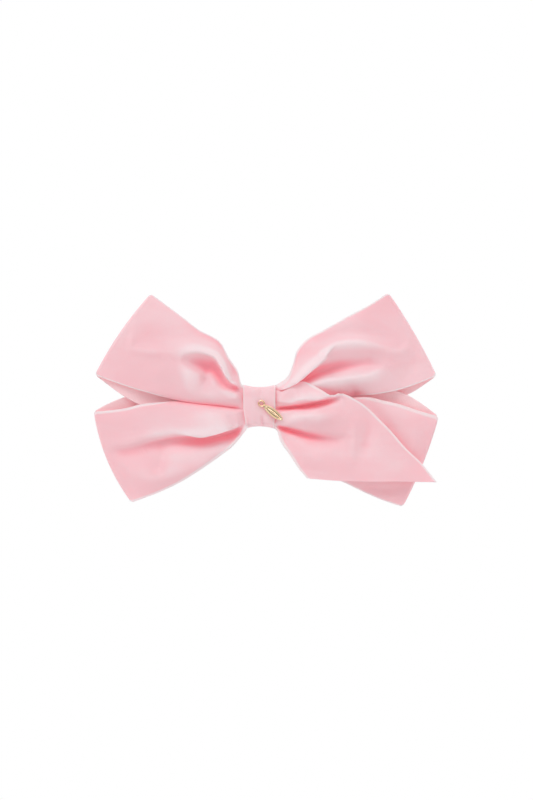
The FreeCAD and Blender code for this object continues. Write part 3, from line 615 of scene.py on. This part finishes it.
def make_tail():
    """The free end: one layer from the knot to its slanted cut, lying in front of the right loops."""
    far = far_corner("ribbon_tail")
    along = np.linspace(0, 1, 240)
    across = np.linspace(0, 1, 150)
    layer = Layer(TAIL_UPPER, TAIL_LOWER, TAIL_FOLDS)
    flat = lay_layer(layer, far, along, across, 0.0)
    cut_bow = np.sin(np.pi * across) * (1 - across)
    flat[..., 1] -= 1.4 * cut_bow[None] * (along**6)[:, None]
    x, z = flat[..., 0], flat[..., 1]
    height, push = press_folds(x, z, TAIL_FOLDS, far)
    height = height + rumple(x + 40, z, 0.25)
    free = smooth((x - WRAP_HALF_WIDTH + 1.0) / 4.5)
    height, push = height * free, push * free[..., None]
    lift = np.interp(x, [0, 8, 14, 22, 36, 60, 90], [0, 0, 1.0, 2.4, 3.0, 1.8, -1.4])
    y = under_charm(x, CORE_FRONT - lift - height, z)
    points = np.stack([x + push[..., 0], y, z + push[..., 1]], axis=-1)
    # relief paints shade into the tail's creases and a highlight onto its ridges
    relief = height - blur(height, 12)
    width = np.linalg.norm(flat[:, -1] - flat[:, 0], axis=1)[:, None]
    # the pale edge band widens near the knot as painted sheen where the edge turns back
    sheen_widening = 1 + 1.6 * np.exp(-x / 16.0)
    tucked = 1.6 * (1 - smooth((x - 18) / 8))
    edge = np.minimum((1 - across) * width / 1.2 + tucked, across * width / sheen_widening)
    piece = ribbon("tail", "ribbon_tail", points, along * TAIL_LONG, across * RIBBON_WIDTH, relief, edge,
                   flip=not faces_front(points))


# ---- centre wrap --------------------------------------------------------------------------
WRAP_SECTION = [(-17.55, 0.0), (-17.35, 5.2), (-16.4, 8.3), (-13.6, 9.55), (-8.5, 9.7), (-3.8, 9.3),
    (-1.4, 7.6), (0.8, 5.7), (1.25, 3.0), (1.32, 0.0), (1.25, -3.0), (0.8, -5.7), (-1.4, -7.6),
    (-3.8, -9.3), (-8.5, -9.7), (-13.6, -9.55), (-16.4, -8.3), (-17.35, -5.2), (-17.55, 0.0)]


def make_wrap():
    """The band round the middle. Its section is a closed curve, a little taller towards both edges,
    and carried across the band's width; the lower part of the band is narrower."""
    rows, columns = 260, 64
    around = np.linspace(0, 1, rows, endpoint=False)
    across = np.linspace(-1, 1, columns)
    section = through(WRAP_SECTION, around)
    y = np.broadcast_to(section[:, :1], (rows, columns)).copy()
    z = np.broadcast_to(section[:, 1:], (rows, columns)) * (1 + 0.12 * across**2)[None]
    front = smooth((-section[:, :1] - 9) / 6)
    narrow = np.clip(-z / 10.5, 0, 1) ** 1.2 * front
    wider, drawn_in = np.where(across < 0, 0.2, 0.1), np.where(across < 0, 1.5, 0.7)
    half = WRAP_HALF_WIDTH + wider[None] - drawn_in[None] * narrow
    x = across[None] * half
    creases = [
        Fold([(0.2, 9.6), (0.35, 6.5), (0.1, 3.0)], [-0.7, -0.6, 0], 0.8, 0.9),
        Fold([(1.5, -9.8), (1.3, -6.0), (1.8, -2.6)], [-1.0, -0.8, 0], 0.8, 1.2),
        Fold([(-3.6, 9.6), (-3.0, 0.0), (-3.4, -8.0)], [0.1, 0.5, 0.3], 1.6, 1.6),
        Fold([(-6.4, -3.0), (-5.2, -9.6)], [0.0, -0.6], 0.9, 0.9),
        Fold([(4.6, 9.6), (4.9, 0.0), (4.2, -8.0)], [0.2, 0.4, 0.2], 1.4, 1.4),
    ]
    height, _ = press_folds(x, z, creases, np.array([1.0, 1.0]))
    y -= (height + 0.35 * (1 - across**2)[None]) * front
    y = under_charm(x, y + rumple(3 * x, 3 * z, 0.06), z)
    points = np.stack([x, y, z], axis=-1)
    # the pale edge band: bare selvedge and painted sheen
    edge = (1 - np.abs(across))[None] * half / 0.45
    # the relief passed on paints shade into the wrap's creases and a highlight onto its ridges
    piece = ribbon("wrap", "centre_wrap", points, around * WRAP_LENGTH, (across + 1) * WRAP_HALF_WIDTH,
                   1.6 * height * front, edge, flip=not faces_front(points[:20]), thick=WRAP_THICK,
                   ring=True)


# ---- threads and felt ---------------------------------------------------------------------
def make_wrap_stitches():
    """Slanting hand stitches that close the wrap behind the clip plate."""
    low, high = box_mm("wrap_seam_stitches")
    radius = (high[1] - low[1]) / 2
    y = low[1] + radius * 0.6
    stitches = []
    for x in np.linspace(low[0] + 0.4, high[0] - 0.4, 5):
        span = np.linspace(-1, 1, 9)
        path = np.stack([x + 0.35 * span, y + 0.35 * (1 - span**4) - 0.35, 1.2 * span], axis=-1)
        stitches.append(tube("stitch", path, radius, spacing=0.08))
    stand_in(join("wrap_stitches", stitches), "wrap_seam_stitches", [thread])


def make_gathering_thread():
    """Turns of thread round the gathered ribbon, hidden under the wrap."""
    low, high = box_mm("gathering_thread")
    radius = THREAD_RADIUS
    middle, half = (low + high) / 2, (high - low) / 2 - radius
    angle = np.linspace(0, 2 * np.pi, 160, endpoint=False)
    turns = []
    for x in (low[0] + radius, 0.0, high[0] - radius):
        corner = np.abs(np.cos(angle)) ** 12 + np.abs(np.sin(angle)) ** 12
        y = middle[1] + half[1] * np.cos(angle) / corner ** (1 / 12)
        z = middle[2] + half[2] * np.sin(angle) / corner ** (1 / 12)
        turns.append(tube("turn", np.stack([0 * y + x, y, z], axis=-1), radius, closed=True))
    stand_in(join("gathering_turns", turns), "gathering_thread", [thread])


def plate_rear(x):
    """Y of the clip plate's rear face at x: the face is an arc about an axis along Z."""
    return PLATE_RADIUS - np.sqrt(PLATE_RADIUS**2 - np.asarray(x, float) ** 2)


def make_mounting_threads():
    """Two staples of thread through the plate's sewing holes, drawn tight over its rear face."""
    low, high = box_mm("mounting_threads")
    staples = []
    for x in (low[0] + 1.1, high[0] - 1.1):
        z = high[2] - 0.5
        y = float(plate_rear(x))
        half = [(x, y - 2.0, z), (x, y - 0.6, z), (x, y + 0.12, z - 0.12), (x, y + 0.28, z - 0.7)]
        path = [(i, j, -k) for i, j, k in half] + [(x, y + 0.30, 0)] + half[::-1]
        staples.append(tube("staple", through(path, np.linspace(0, 1, 60)), THREAD_RADIUS))
    stand_in(join("sewing_staples", staples), "mounting_threads", [thread])


def make_charm_thread():
    """The loop of thread round the charm's ring, with its end going into the wrap."""
    low, high = box_mm("charm_thread")
    radius, loop_radius = CHARM_THREAD_RADIUS, 0.68
    centre = np.array([(low[0] + high[0]) / 2, low[1] + loop_radius + radius, (low[2] + high[2]) / 2])
    angle = np.linspace(0, 2 * np.pi, 60, endpoint=False)[:, None]
    ring = centre + loop_radius * (np.cos(angle) * CHARM_ALONG + np.sin(angle) * TOWARDS_REAR)
    stem = [centre + reach * TOWARDS_REAR for reach in (loop_radius, 1.2, 2.2)]
    pieces = [tube("ring", ring, radius, closed=True, spacing=0.06),
              tube("stem", stem, radius, spacing=0.06)]
    stand_in(join("charm_loop", pieces), "charm_thread", [thread], body="charm_thread")


def navette(angle, half_length, half_width):
    """Distance from the centre to a pointed oval's outline at an angle: the outline is two arcs, rounded
    off at the tips by mixing in an ellipse."""
    arc = (half_length**2 + half_width**2) / (2 * half_width)
    c, d = np.cos(angle), np.abs(np.sin(angle))
    fall = arc - half_width
    pointed = -fall * d + np.sqrt(arc**2 - (fall * c) ** 2)
    oval = half_length * half_width / np.hypot(half_width * c, half_length * d)
    return 0.4 * pointed + 0.6 * oval


def make_charm():
    """The cast charm: a pointed oval plate with a rounded rim, a sunk field and a row of beads along it,
    and a ring at its upper end. In polar form the front's height is thick / 2 + rim x (a round bump near
    the outline) - recess inside it + the beads' domes."""
    along, across = CHARM_ALONG, CHARM_ACROSS
    half_length, half_width, thick = 6.1, 1.95, 0.9
    centre = CHARM_PIVOT + along * (CHARM_RING + 7.3)
    angle = np.linspace(0, 2 * np.pi, 240, endpoint=False)
    reach = navette(angle, half_length, half_width)
    share = np.concatenate([np.linspace(0.001, 0.8, 60), np.linspace(0.81, 1.0, 30)])
    u = share[:, None] * (reach * np.cos(angle))[None]
    v = share[:, None] * (reach * np.sin(angle))[None]
    gap = (1 - share)[:, None] * (reach * np.hypot(np.cos(angle), 1.8 * np.sin(angle)) / 1.8)[None]
    rim_width = 0.62
    t = np.clip(gap / rim_width, 0, 1)
    rim = np.sqrt(np.clip(1 - (2 * t - 1) ** 2, 0, 1)) * 0.34
    field = 0.10 * smooth((gap - rim_width) / 0.3)
    beads = np.zeros_like(u)
    for i, size in zip(range(-4, 5), (0.30, 0.46, 0.58, 0.66, 0.70, 0.66, 0.58, 0.46, 0.30)):
        dome = 1 - ((u - 0.98 * i) ** 2 + v**2) / size**2
        beads = np.maximum(beads, 0.42 * np.sqrt(np.clip(dome, 0, 1)))
    front = -(thick / 2 - 0.18) - rim - beads + field
    back = np.full_like(front, thick / 2)
    u, v, y = (np.concatenate(rows)[..., None] for rows in ((u, u[::-1]), (v, v[::-1]), (front, back)))
    points = centre + u * along + v * across + y * TOWARDS_REAR
    plate = surface("plate", points, ring_columns=True)
    turn = np.linspace(0, 2 * np.pi, 72, endpoint=False)
    ring_path = along + np.cos(turn)[:, None] * along + np.sin(turn)[:, None] * across
    ring_path = CHARM_PIVOT + CHARM_RING * ring_path
    ring = tube("ring", ring_path, 0.36, closed=True, lobes=0, twist=0.0, spacing=0.1)
    stand_in(join("charm_plate", [plate, ring]), "charm", [gold], body="charm")


def make_pad():
    """The felt: a rounded strip bent along the plate. Its section is a flattened superellipse, and its
    ends are drawn in as half rounds."""
    high = box_mm("backing_pad")[1]
    half_length, half_width, thick = high[0], high[2], 0.9
    s = np.sin(np.linspace(-np.pi / 2, np.pi / 2, 220))
    x = half_length * s
    width = half_width * (1 - np.abs(s) ** 14) ** 0.5
    angle = np.linspace(0, 2 * np.pi, 48, endpoint=False)
    section_z = np.sign(np.cos(angle)) * np.abs(np.cos(angle)) ** 0.35
    section_y = np.sign(np.sin(angle)) * np.abs(np.sin(angle)) ** 0.5
    z = width[:, None] * section_z
    y = thick / 2 * (section_y * (1 - np.abs(s[:, None]) ** 40) - 1)
    y = plate_rear(x)[:, None] - PLATE_THICK + y
    points = np.stack([np.broadcast_to(x[:, None], z.shape), y, z], axis=-1)
    piece = stand_in(surface("felt_pad", points, ring_columns=True), "backing_pad", [felt])


# ---- materials ----------------------------------------------------------------------------
def tone(red, green, blue):
    """A display colour, each part from 0 to 255, as the linear colour that a shader takes."""
    parts = [v / 255 for v in (red, green, blue)]
    return [v / 12.92 if v <= 0.04045 else ((v + 0.055) / 1.055) ** 2.4 for v in parts] + [1.0]


class Tree:
    """A short way to write a node tree."""

    def __init__(self, nodes):
        self.tree = nodes

    def fill(self, node, inputs):
        """Links each input that is given a socket, and sets the others to plain values."""
        for key, value in inputs.items():
            if isinstance(value, bpy.types.NodeSocket):
                self.tree.links.new(value, node.inputs[key])
            else:
                node.inputs[key].default_value = value
        return node

    def add(self, kind, inputs=None, **settings):
        """A new node, with its settings and inputs."""
        node = self.tree.nodes.new(kind)
        for key, value in settings.items():
            setattr(node, key, value)
        return self.fill(node, inputs or {})

    def math(self, operation, a, b=0.0):
        return self.add("ShaderNodeMath", {0: a, 1: b}, operation=operation).outputs[0]

    def times(self, a, b):
        return self.math("MULTIPLY", a, b)

    def remap(self, value, low, high, to_low=0.0, to_high=1.0):
        """Eases a value from one range to another, and holds it at the ends."""
        inputs = {"Value": value, "From Min": low, "From Max": high, "To Min": to_low, "To Max": to_high}
        return self.add("ShaderNodeMapRange", inputs, interpolation_type="SMOOTHSTEP").outputs[0]

    def mix(self, share, a, b):
        return self.add("ShaderNodeMix", {0: share, 6: a, 7: b}, data_type="RGBA").outputs[2]

    def place(self):
        """Where a point is on the object, in metres."""
        return self.add("ShaderNodeTexCoord").outputs["Object"]

    def stretch(self, vector, share):
        """A vector with its X made smaller, which draws a pattern out along X."""
        inputs = {0: vector, 1: (share, 1.0, 1.0)}
        return self.add("ShaderNodeVectorMath", inputs, operation="MULTIPLY").outputs[0]

    def mask(self, name):
        """A mesh's own value, from point to point."""
        return self.add("ShaderNodeAttribute", attribute_name=name).outputs["Fac"]

    def noise(self, vector, scale, detail=2.0, roughness=0.5):
        inputs = {"Vector": vector, "Scale": scale, "Detail": detail, "Roughness": roughness}
        return self.add("ShaderNodeTexNoise", inputs).outputs[0]


def new_group(name, inputs, outputs):
    """An empty node group with named sockets. Returns its tree, its inputs and its output node."""
    group = bpy.data.node_groups.new(name, "ShaderNodeTree")
    for key, (kind, value) in inputs.items():
        socket = group.interface.new_socket(key, in_out="INPUT", socket_type=kind)
        if value is not None:
            socket.default_value = value
    for key, kind in outputs.items():
        group.interface.new_socket(key, in_out="OUTPUT", socket_type=kind)
    tree = Tree(group)
    return tree, tree.add("NodeGroupInput").outputs, tree.add("NodeGroupOutput")


def pile_group():
    """Velvet pile: fine upright fibre, soft strokes where the nap lies another way, and broad shading."""
    tree, given, result = new_group(
        "velvet_pile", {"Vector": ("NodeSocketVector", None), "Stroke Size": ("NodeSocketFloat", 60.0)},
        {"Fibre": "NodeSocketFloat", "Nap": "NodeSocketFloat"})
    fibre = tree.noise(given["Vector"], 4200.0, 3.0, 0.7)
    strokes = tree.add("ShaderNodeTexNoise", {
        "Vector": tree.stretch(given["Vector"], 0.35), "Scale": given["Stroke Size"],
        "Detail": 3.0, "Roughness": 0.55, "Distortion": 0.4}).outputs[0]
    broad = tree.noise(given["Vector"], 22.0, 1.0)
    nap = tree.math("ADD", tree.times(strokes, 0.6), tree.times(broad, 0.4))
    tree.fill(result, {"Fibre": fibre, "Nap": nap})
    return tree.tree


def weave_group():
    """Plain weave on a ribbon's own UV map: crossed waves, one per yarn."""
    tree, given, result = new_group(
        "plain_weave", {"UV": ("NodeSocketVector", None), "Yarns": ("NodeSocketFloat", 3500.0)},
        {"Height": "NodeSocketFloat"})
    parts = tree.add("ShaderNodeSeparateXYZ", {0: given["UV"]}).outputs
    warp = tree.math("SINE", tree.times(parts["X"], given["Yarns"]))
    weft = tree.math("SINE", tree.times(parts["Y"], given["Yarns"]))
    tree.fill(result, {"Height": tree.math("ADD", tree.times(tree.times(warp, weft), 0.5), 0.5)})
    return tree.tree


def grain_group():
    """Metal grain: fine lines along X, faint smudges, and small worn patches."""
    tree, given, result = new_group(
        "metal_grain", {"Vector": ("NodeSocketVector", None), "Lines": ("NodeSocketFloat", 2500.0)},
        {"Grain": "NodeSocketFloat", "Smudge": "NodeSocketFloat", "Wear": "NodeSocketFloat"})
    grain = tree.noise(tree.stretch(given["Vector"], 0.03), given["Lines"])
    smudge = tree.noise(given["Vector"], 180.0, 3.0, 0.6)
    wear = tree.remap(tree.noise(given["Vector"], 700.0, 4.0, 0.7), 0.58, 0.72)
    tree.fill(result, {"Grain": grain, "Smudge": smudge, "Wear": wear})
    return tree.tree


def new_material(name):
    """A material with an empty tree and a Principled shader on its output."""
    material = bpy.data.materials.new(name)
    material.use_nodes = True
    material.node_tree.nodes.clear()
    tree = Tree(material.node_tree)
    shader = tree.add("ShaderNodeBsdfPrincipled")
    tree.add("ShaderNodeOutputMaterial", {"Surface": shader.outputs[0]})
    return material, tree, shader


def bump(tree, height, distance, strength):
    """A normal for fine relief that is distance mm high."""
    inputs = {"Height": height, "Distance": distance * MM, "Strength": strength}
    return tree.add("ShaderNodeBump", inputs).outputs[0]


# PALE_PINK serves both as random nap tone and as a painted highlight on ridges. DEEP_PINK serves both as
# random fibre tone and as painted shade in creases and hollows. The deepest pink is painted shade in deep
# creases only.
PALE_PINK = tone(248, 228, 231)
MID_PINK = tone(247, 201, 207)
DEEP_PINK = tone(250, 167, 178)
CREASE_SHADE_PINK = tone(247, 152, 163)
PAINTED_FOLD_GLOW = tone(255, 96, 112)          # painted glow in a fold, standing in for light passed on from pile to pile
PAINTED_REVERSE_GLOW = tone(255, 186, 194)     # the same painted glow between two layers of the woven reverse
# pale edge band: the bare selvedge's own colour, and painted sheen where the edge turns away
SELVEDGE_AND_SHEEN = tone(244, 226, 228)
WORN_METAL = tone(150, 146, 140)
FOLD_REACH = 9.0                        # mm within which cloth overhead sets a fold's painted shade and painted glow


def fold_shade_and_glow(tree, reach):
    """How hidden a point is, from 0 in the open to 1 deep in a fold, judged within reach mm. It sets how
    much painted shade and painted glow a point gets.
    """
    open_air = tree.add("ShaderNodeAmbientOcclusion", {"Distance": reach * MM}, samples=8).outputs["AO"]
    return tree.remap(open_air, 0.2, 0.85, 1.0, 0.0)


def weave_on_ribbon(tree, groups):
    """The height of the plain weave, on the ribbon's own UV map."""
    uv = tree.add("ShaderNodeUVMap", uv_map="ribbon").outputs[0]
    return tree.add("ShaderNodeGroup", {"UV": uv}, node_tree=groups["weave"]).outputs["Height"]


def velvet_material(name, groups):
    """Cut velvet. Folds that stand up get a painted highlight in pale pink and creases get painted shade
    in deep pink, both read from the mesh's relief; hollows under nearby cloth get more painted shade and a
    faint painted glow; and the last millimetre at each edge is a bare woven selvedge, paler also as
    painted sheen."""
    material, tree, shader = new_material(name)
    pile = tree.add("ShaderNodeGroup", {"Vector": tree.place()}, node_tree=groups["pile"]).outputs
    relief = tree.mask("relief")
    # painted shade and painted highlight: the relief mask darkens creases to deep pink and the deepest
    # pink, and pales ridges
    colour = tree.mix(tree.remap(relief, -2.6, -0.2, 1.0, 0.0), MID_PINK, DEEP_PINK)
    colour = tree.mix(tree.remap(relief, -6.0, -2.4, 1.0, 0.0), colour, CREASE_SHADE_PINK)
    colour = tree.mix(tree.remap(relief, 0.3, 2.3, 0.0, 0.9), colour, PALE_PINK)
    colour = tree.mix(tree.remap(pile["Nap"], 0.40, 0.62, 0.0, 0.35), colour, PALE_PINK)
    colour = tree.mix(tree.remap(pile["Fibre"], 0.35, 0.65, 0.0, 0.16), colour, DEEP_PINK)
    # the pale edge band: bare selvedge and painted sheen
    edge = tree.remap(tree.mask("edge"), 0.6, 1.2, 0.9, 0.0)
    # painted shade: hollows under nearby cloth are mixed towards deep pink, the selvedge too
    hidden = fold_shade_and_glow(tree, FOLD_REACH)
    colour = tree.mix(tree.times(hidden, 0.45), colour, DEEP_PINK)
    selvedge = tree.mix(tree.times(hidden, 0.35), SELVEDGE_AND_SHEEN, DEEP_PINK)
    height = tree.mix(edge, pile["Fibre"], weave_on_ribbon(tree, groups))
    tree.fill(shader, {
        "Base Color": tree.mix(edge, colour, selvedge),
        # painted glow: hollows give off a faint pink light
        "Emission Color": PAINTED_FOLD_GLOW,
        "Emission Strength": tree.times(hidden, 0.09),
        "Roughness": tree.remap(pile["Nap"], 0.3, 0.7, 0.82, 0.95),
        "Specular IOR Level": 0.15,
        "Subsurface Weight": 0.4,
        "Subsurface Radius": (1.0, 0.6, 0.65),
        "Subsurface Scale": 1.4 * MM,
        "Sheen Weight": 0.4,
        "Sheen Roughness": 0.3,
        "Sheen Tint": tone(255, 226, 232),
        "Normal": bump(tree, height, 0.10, 0.5),
    })
    return material


def reverse_material(groups):
    """The ribbon's plain woven reverse, paler and smoother than the pile."""
    material, tree, shader = new_material("ribbon_reverse")
    weave = weave_on_ribbon(tree, groups)
    broad = tree.noise(tree.place(), 60.0, 2.0)
    colour = tree.mix(tree.remap(broad, 0.35, 0.65, 0.0, 0.5), tone(251, 214, 217), tone(250, 204, 209))
    colour = tree.mix(tree.times(weave, 0.15), colour, tone(244, 204, 210))
    # painted shade: hollows of the reverse are mixed towards deep pink, and give off a faint painted glow
    hidden = fold_shade_and_glow(tree, FOLD_REACH)
    tree.fill(shader, {
        "Base Color": tree.mix(tree.times(hidden, 0.15), colour, DEEP_PINK),
        "Emission Color": PAINTED_REVERSE_GLOW,
        "Emission Strength": tree.times(hidden, 0.13),
        "Roughness": tree.remap(weave, 0.0, 1.0, 0.55, 0.75),
        "Subsurface Weight": 0.25,
        "Subsurface Radius": (1.0, 0.85, 0.87),
        "Subsurface Scale": 1.0 * MM,
        "Sheen Weight": 0.2,
        "Normal": bump(tree, weave, 0.05, 0.6),
    })
    return material


def thread_material():
    """Twisted thread, with fine fibre along the strand."""
    material, tree, shader = new_material("sewing_thread")
    fibre = tree.noise(tree.place(), 3500.0, 3.0, 0.7)
    tree.fill(shader, {
        "Base Color": tree.mix(fibre, tone(222, 150, 165), tone(244, 196, 206)),
        "Roughness": tree.remap(fibre, 0.3, 0.7, 0.45, 0.65),
        "Sheen Weight": 0.3,
        "Normal": bump(tree, fibre, 0.03, 0.5),
    })
    return material


def felt_material():
    """Pressed felt: matted fibre in two scales."""
    material, tree, shader = new_material("pressed_felt")
    where = tree.place()
    matted = tree.noise(where, 900.0, 5.0, 0.75)
    fibre = tree.noise(where, 3600.0, 2.0, 0.6)
    colour = tree.mix(tree.remap(matted, 0.35, 0.65), tone(232, 196, 200), tone(246, 224, 226))
    tree.fill(shader, {
        "Base Color": tree.mix(tree.times(fibre, 0.2), colour, tone(216, 168, 176)),
        "Roughness": tree.remap(matted, 0.3, 0.7, 0.85, 1.0),
        "Sheen Weight": 0.35,
        "Normal": bump(tree, tree.math("ADD", matted, fibre), 0.15, 0.6),
    })
    return material


def metal_material(name, groups, bright, dull, roughness, lines):
    """Plated or rolled metal: grain along the strip, smudges in the gloss and small worn spots."""
    material, tree, shader = new_material(name)
    where = {"Vector": tree.place(), "Lines": lines}
    grain = tree.add("ShaderNodeGroup", where, node_tree=groups["grain"]).outputs
    colour = tree.mix(tree.remap(grain["Smudge"], 0.35, 0.7), bright, dull)
    tree.fill(shader, {
        "Base Color": tree.mix(tree.times(grain["Wear"], 0.15), colour, WORN_METAL),
        "Roughness": tree.remap(grain["Smudge"], 0.3, 0.7, roughness, roughness + 0.06),
        "Metallic": 1.0,
        "Normal": bump(tree, grain["Grain"], 0.012, 0.5),
    })
    return material


groups = {"pile": pile_group(), "weave": weave_group(), "grain": grain_group()}
velvet = velvet_material("pink_velvet", groups)
reverse = reverse_material(groups)
thread = thread_material()
felt = felt_material()
plated = metal_material("nickel_plate", groups, tone(219, 217, 212), tone(205, 202, 197), 0.20, 2500.0)
rolled = metal_material("spring_steel", groups, tone(196, 196, 195), tone(181, 181, 179), 0.26, 4200.0)
gold = metal_material("pale_gold", groups, tone(251, 230, 200), tone(242, 210, 170), 0.15, 3000.0)

make_loop("upper_left", UPPER_LEFT)
make_loop("lower_left", LOWER_LEFT)
make_loop("upper_right", UPPER_RIGHT)
make_loop("lower_right", LOWER_RIGHT)
make_tail()
make_wrap()
make_wrap_stitches()
make_gathering_thread()
make_mounting_threads()
make_charm_thread()
make_charm()
make_pad()

METALS = {
    "clip_base_plate": plated, "clasp_arm": plated, "catch_bracket": plated, "hinge_pin": plated,
    "catch_rivet": plated, "tension_spring": rolled, "catch_prong_upper": rolled,
    "catch_prong_lower": rolled,
}
for node, metal in METALS.items():
    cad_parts[node].data.materials.clear()
    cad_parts[node].data.materials.append(metal)


# ---- floor, light and camera --------------------------------------------------------------
def make_floor():
    """A wide pale floor below the bow."""
    side = 2000.0
    edge = np.linspace(-side, side, 9)
    x, y = np.meshgrid(edge, edge, indexing="ij")
    floor = surface("floor", np.stack([x, y, 0 * x - 580.0], axis=-1))
    if floor.data.polygons[0].normal.z < 0:
        floor.data.flip_normals()
    material, tree, shader = new_material("pale_floor")
    tree.fill(shader, {"Base Color": tone(236, 236, 236), "Roughness": 0.9})
    floor.data.materials.append(material)


def sun(name, towards, strength, spread_degrees, in_gloss=True):
    """A broad soft light that shines along `towards`. Polished metal shows it only if in_gloss."""
    light = bpy.data.lights.new(name, "SUN")
    light.energy = strength
    light.angle = math.radians(spread_degrees)
    holder = bpy.data.objects.new(name, light)
    bpy.context.scene.collection.objects.link(holder)
    holder.rotation_euler = Vector(towards).to_track_quat("-Z", "Y").to_euler()
    holder.visible_glossy = in_gloss


def make_light():
    """White surroundings that are brighter overhead, with a large soft key from the upper left."""
    world = bpy.data.worlds.new("studio")
    bpy.context.scene.world = world
    world.use_nodes = True
    world.node_tree.nodes.clear()
    tree = Tree(world.node_tree)
    seen = tree.add("ShaderNodeLightPath").outputs["Is Camera Ray"]
    where = tree.add("ShaderNodeTexCoord").outputs["Generated"]
    axes = tree.add("ShaderNodeSeparateXYZ", {0: where}).outputs
    around = tree.remap(axes["Z"], -0.2, 0.9, AMBIENT_LOW, AMBIENT_HIGH)
    sides = tree.remap(tree.math("ABSOLUTE", axes["X"]), 0.5, 0.95, 0.0, AMBIENT_SIDES)
    around = tree.math("ADD", around, sides)
    gloss = tree.add("ShaderNodeLightPath").outputs["Is Glossy Ray"]
    panel = tree.remap(axes["Z"], 0.0, 0.5, 0.42, 1.5)
    dark_front = tree.remap(axes["Y"], -0.9, -0.3, 0.55, 1.0)
    mirrored = tree.math("ADD", tree.times(panel, dark_front), sides)
    around = tree.add("ShaderNodeMix", {0: gloss, 2: around, 3: mirrored}).outputs[0]
    strength = tree.add("ShaderNodeMix", {0: seen, 2: around, 3: 1.0}).outputs[0]
    back = tree.add("ShaderNodeBackground", {"Color": (1, 1, 1, 1), "Strength": strength})
    tree.add("ShaderNodeOutputWorld", {"Surface": back.outputs[0]})
    sun("key", (0.3, 0.55, -0.78), KEY_STRENGTH, 32.0)
    sun("fill", (-0.1, 1.0, 0.1), FILL_STRENGTH, 70.0, in_gloss=False)
    sun("back", (-0.3, -0.8, -0.5), BACK_STRENGTH, 40.0)


def make_camera():
    """Square on to the bow's front, level with the knot."""
    camera = bpy.data.objects.new("camera", bpy.data.cameras.new("camera"))
    bpy.context.scene.collection.objects.link(camera)
    camera.data.lens = 100.0
    camera.data.sensor_width = 36.0
    low, high = np.array(cad_bounds[0]), np.array(cad_bounds[1])
    middle = (low + high) / 2
    distance = VIEW_HEIGHT * MM * camera.data.lens / camera.data.sensor_width
    camera.location = (middle[0], (WRAP_FRONT + CORE_REAR) / 2 * MM - distance, middle[2])
    camera.rotation_euler = (math.pi / 2, 0, 0)
    camera.data.clip_start, camera.data.clip_end = 0.01, 50.0
    bpy.context.scene.camera = camera


make_floor()
make_light()
make_camera()
bpy.context.scene.view_settings.view_transform = "Standard"
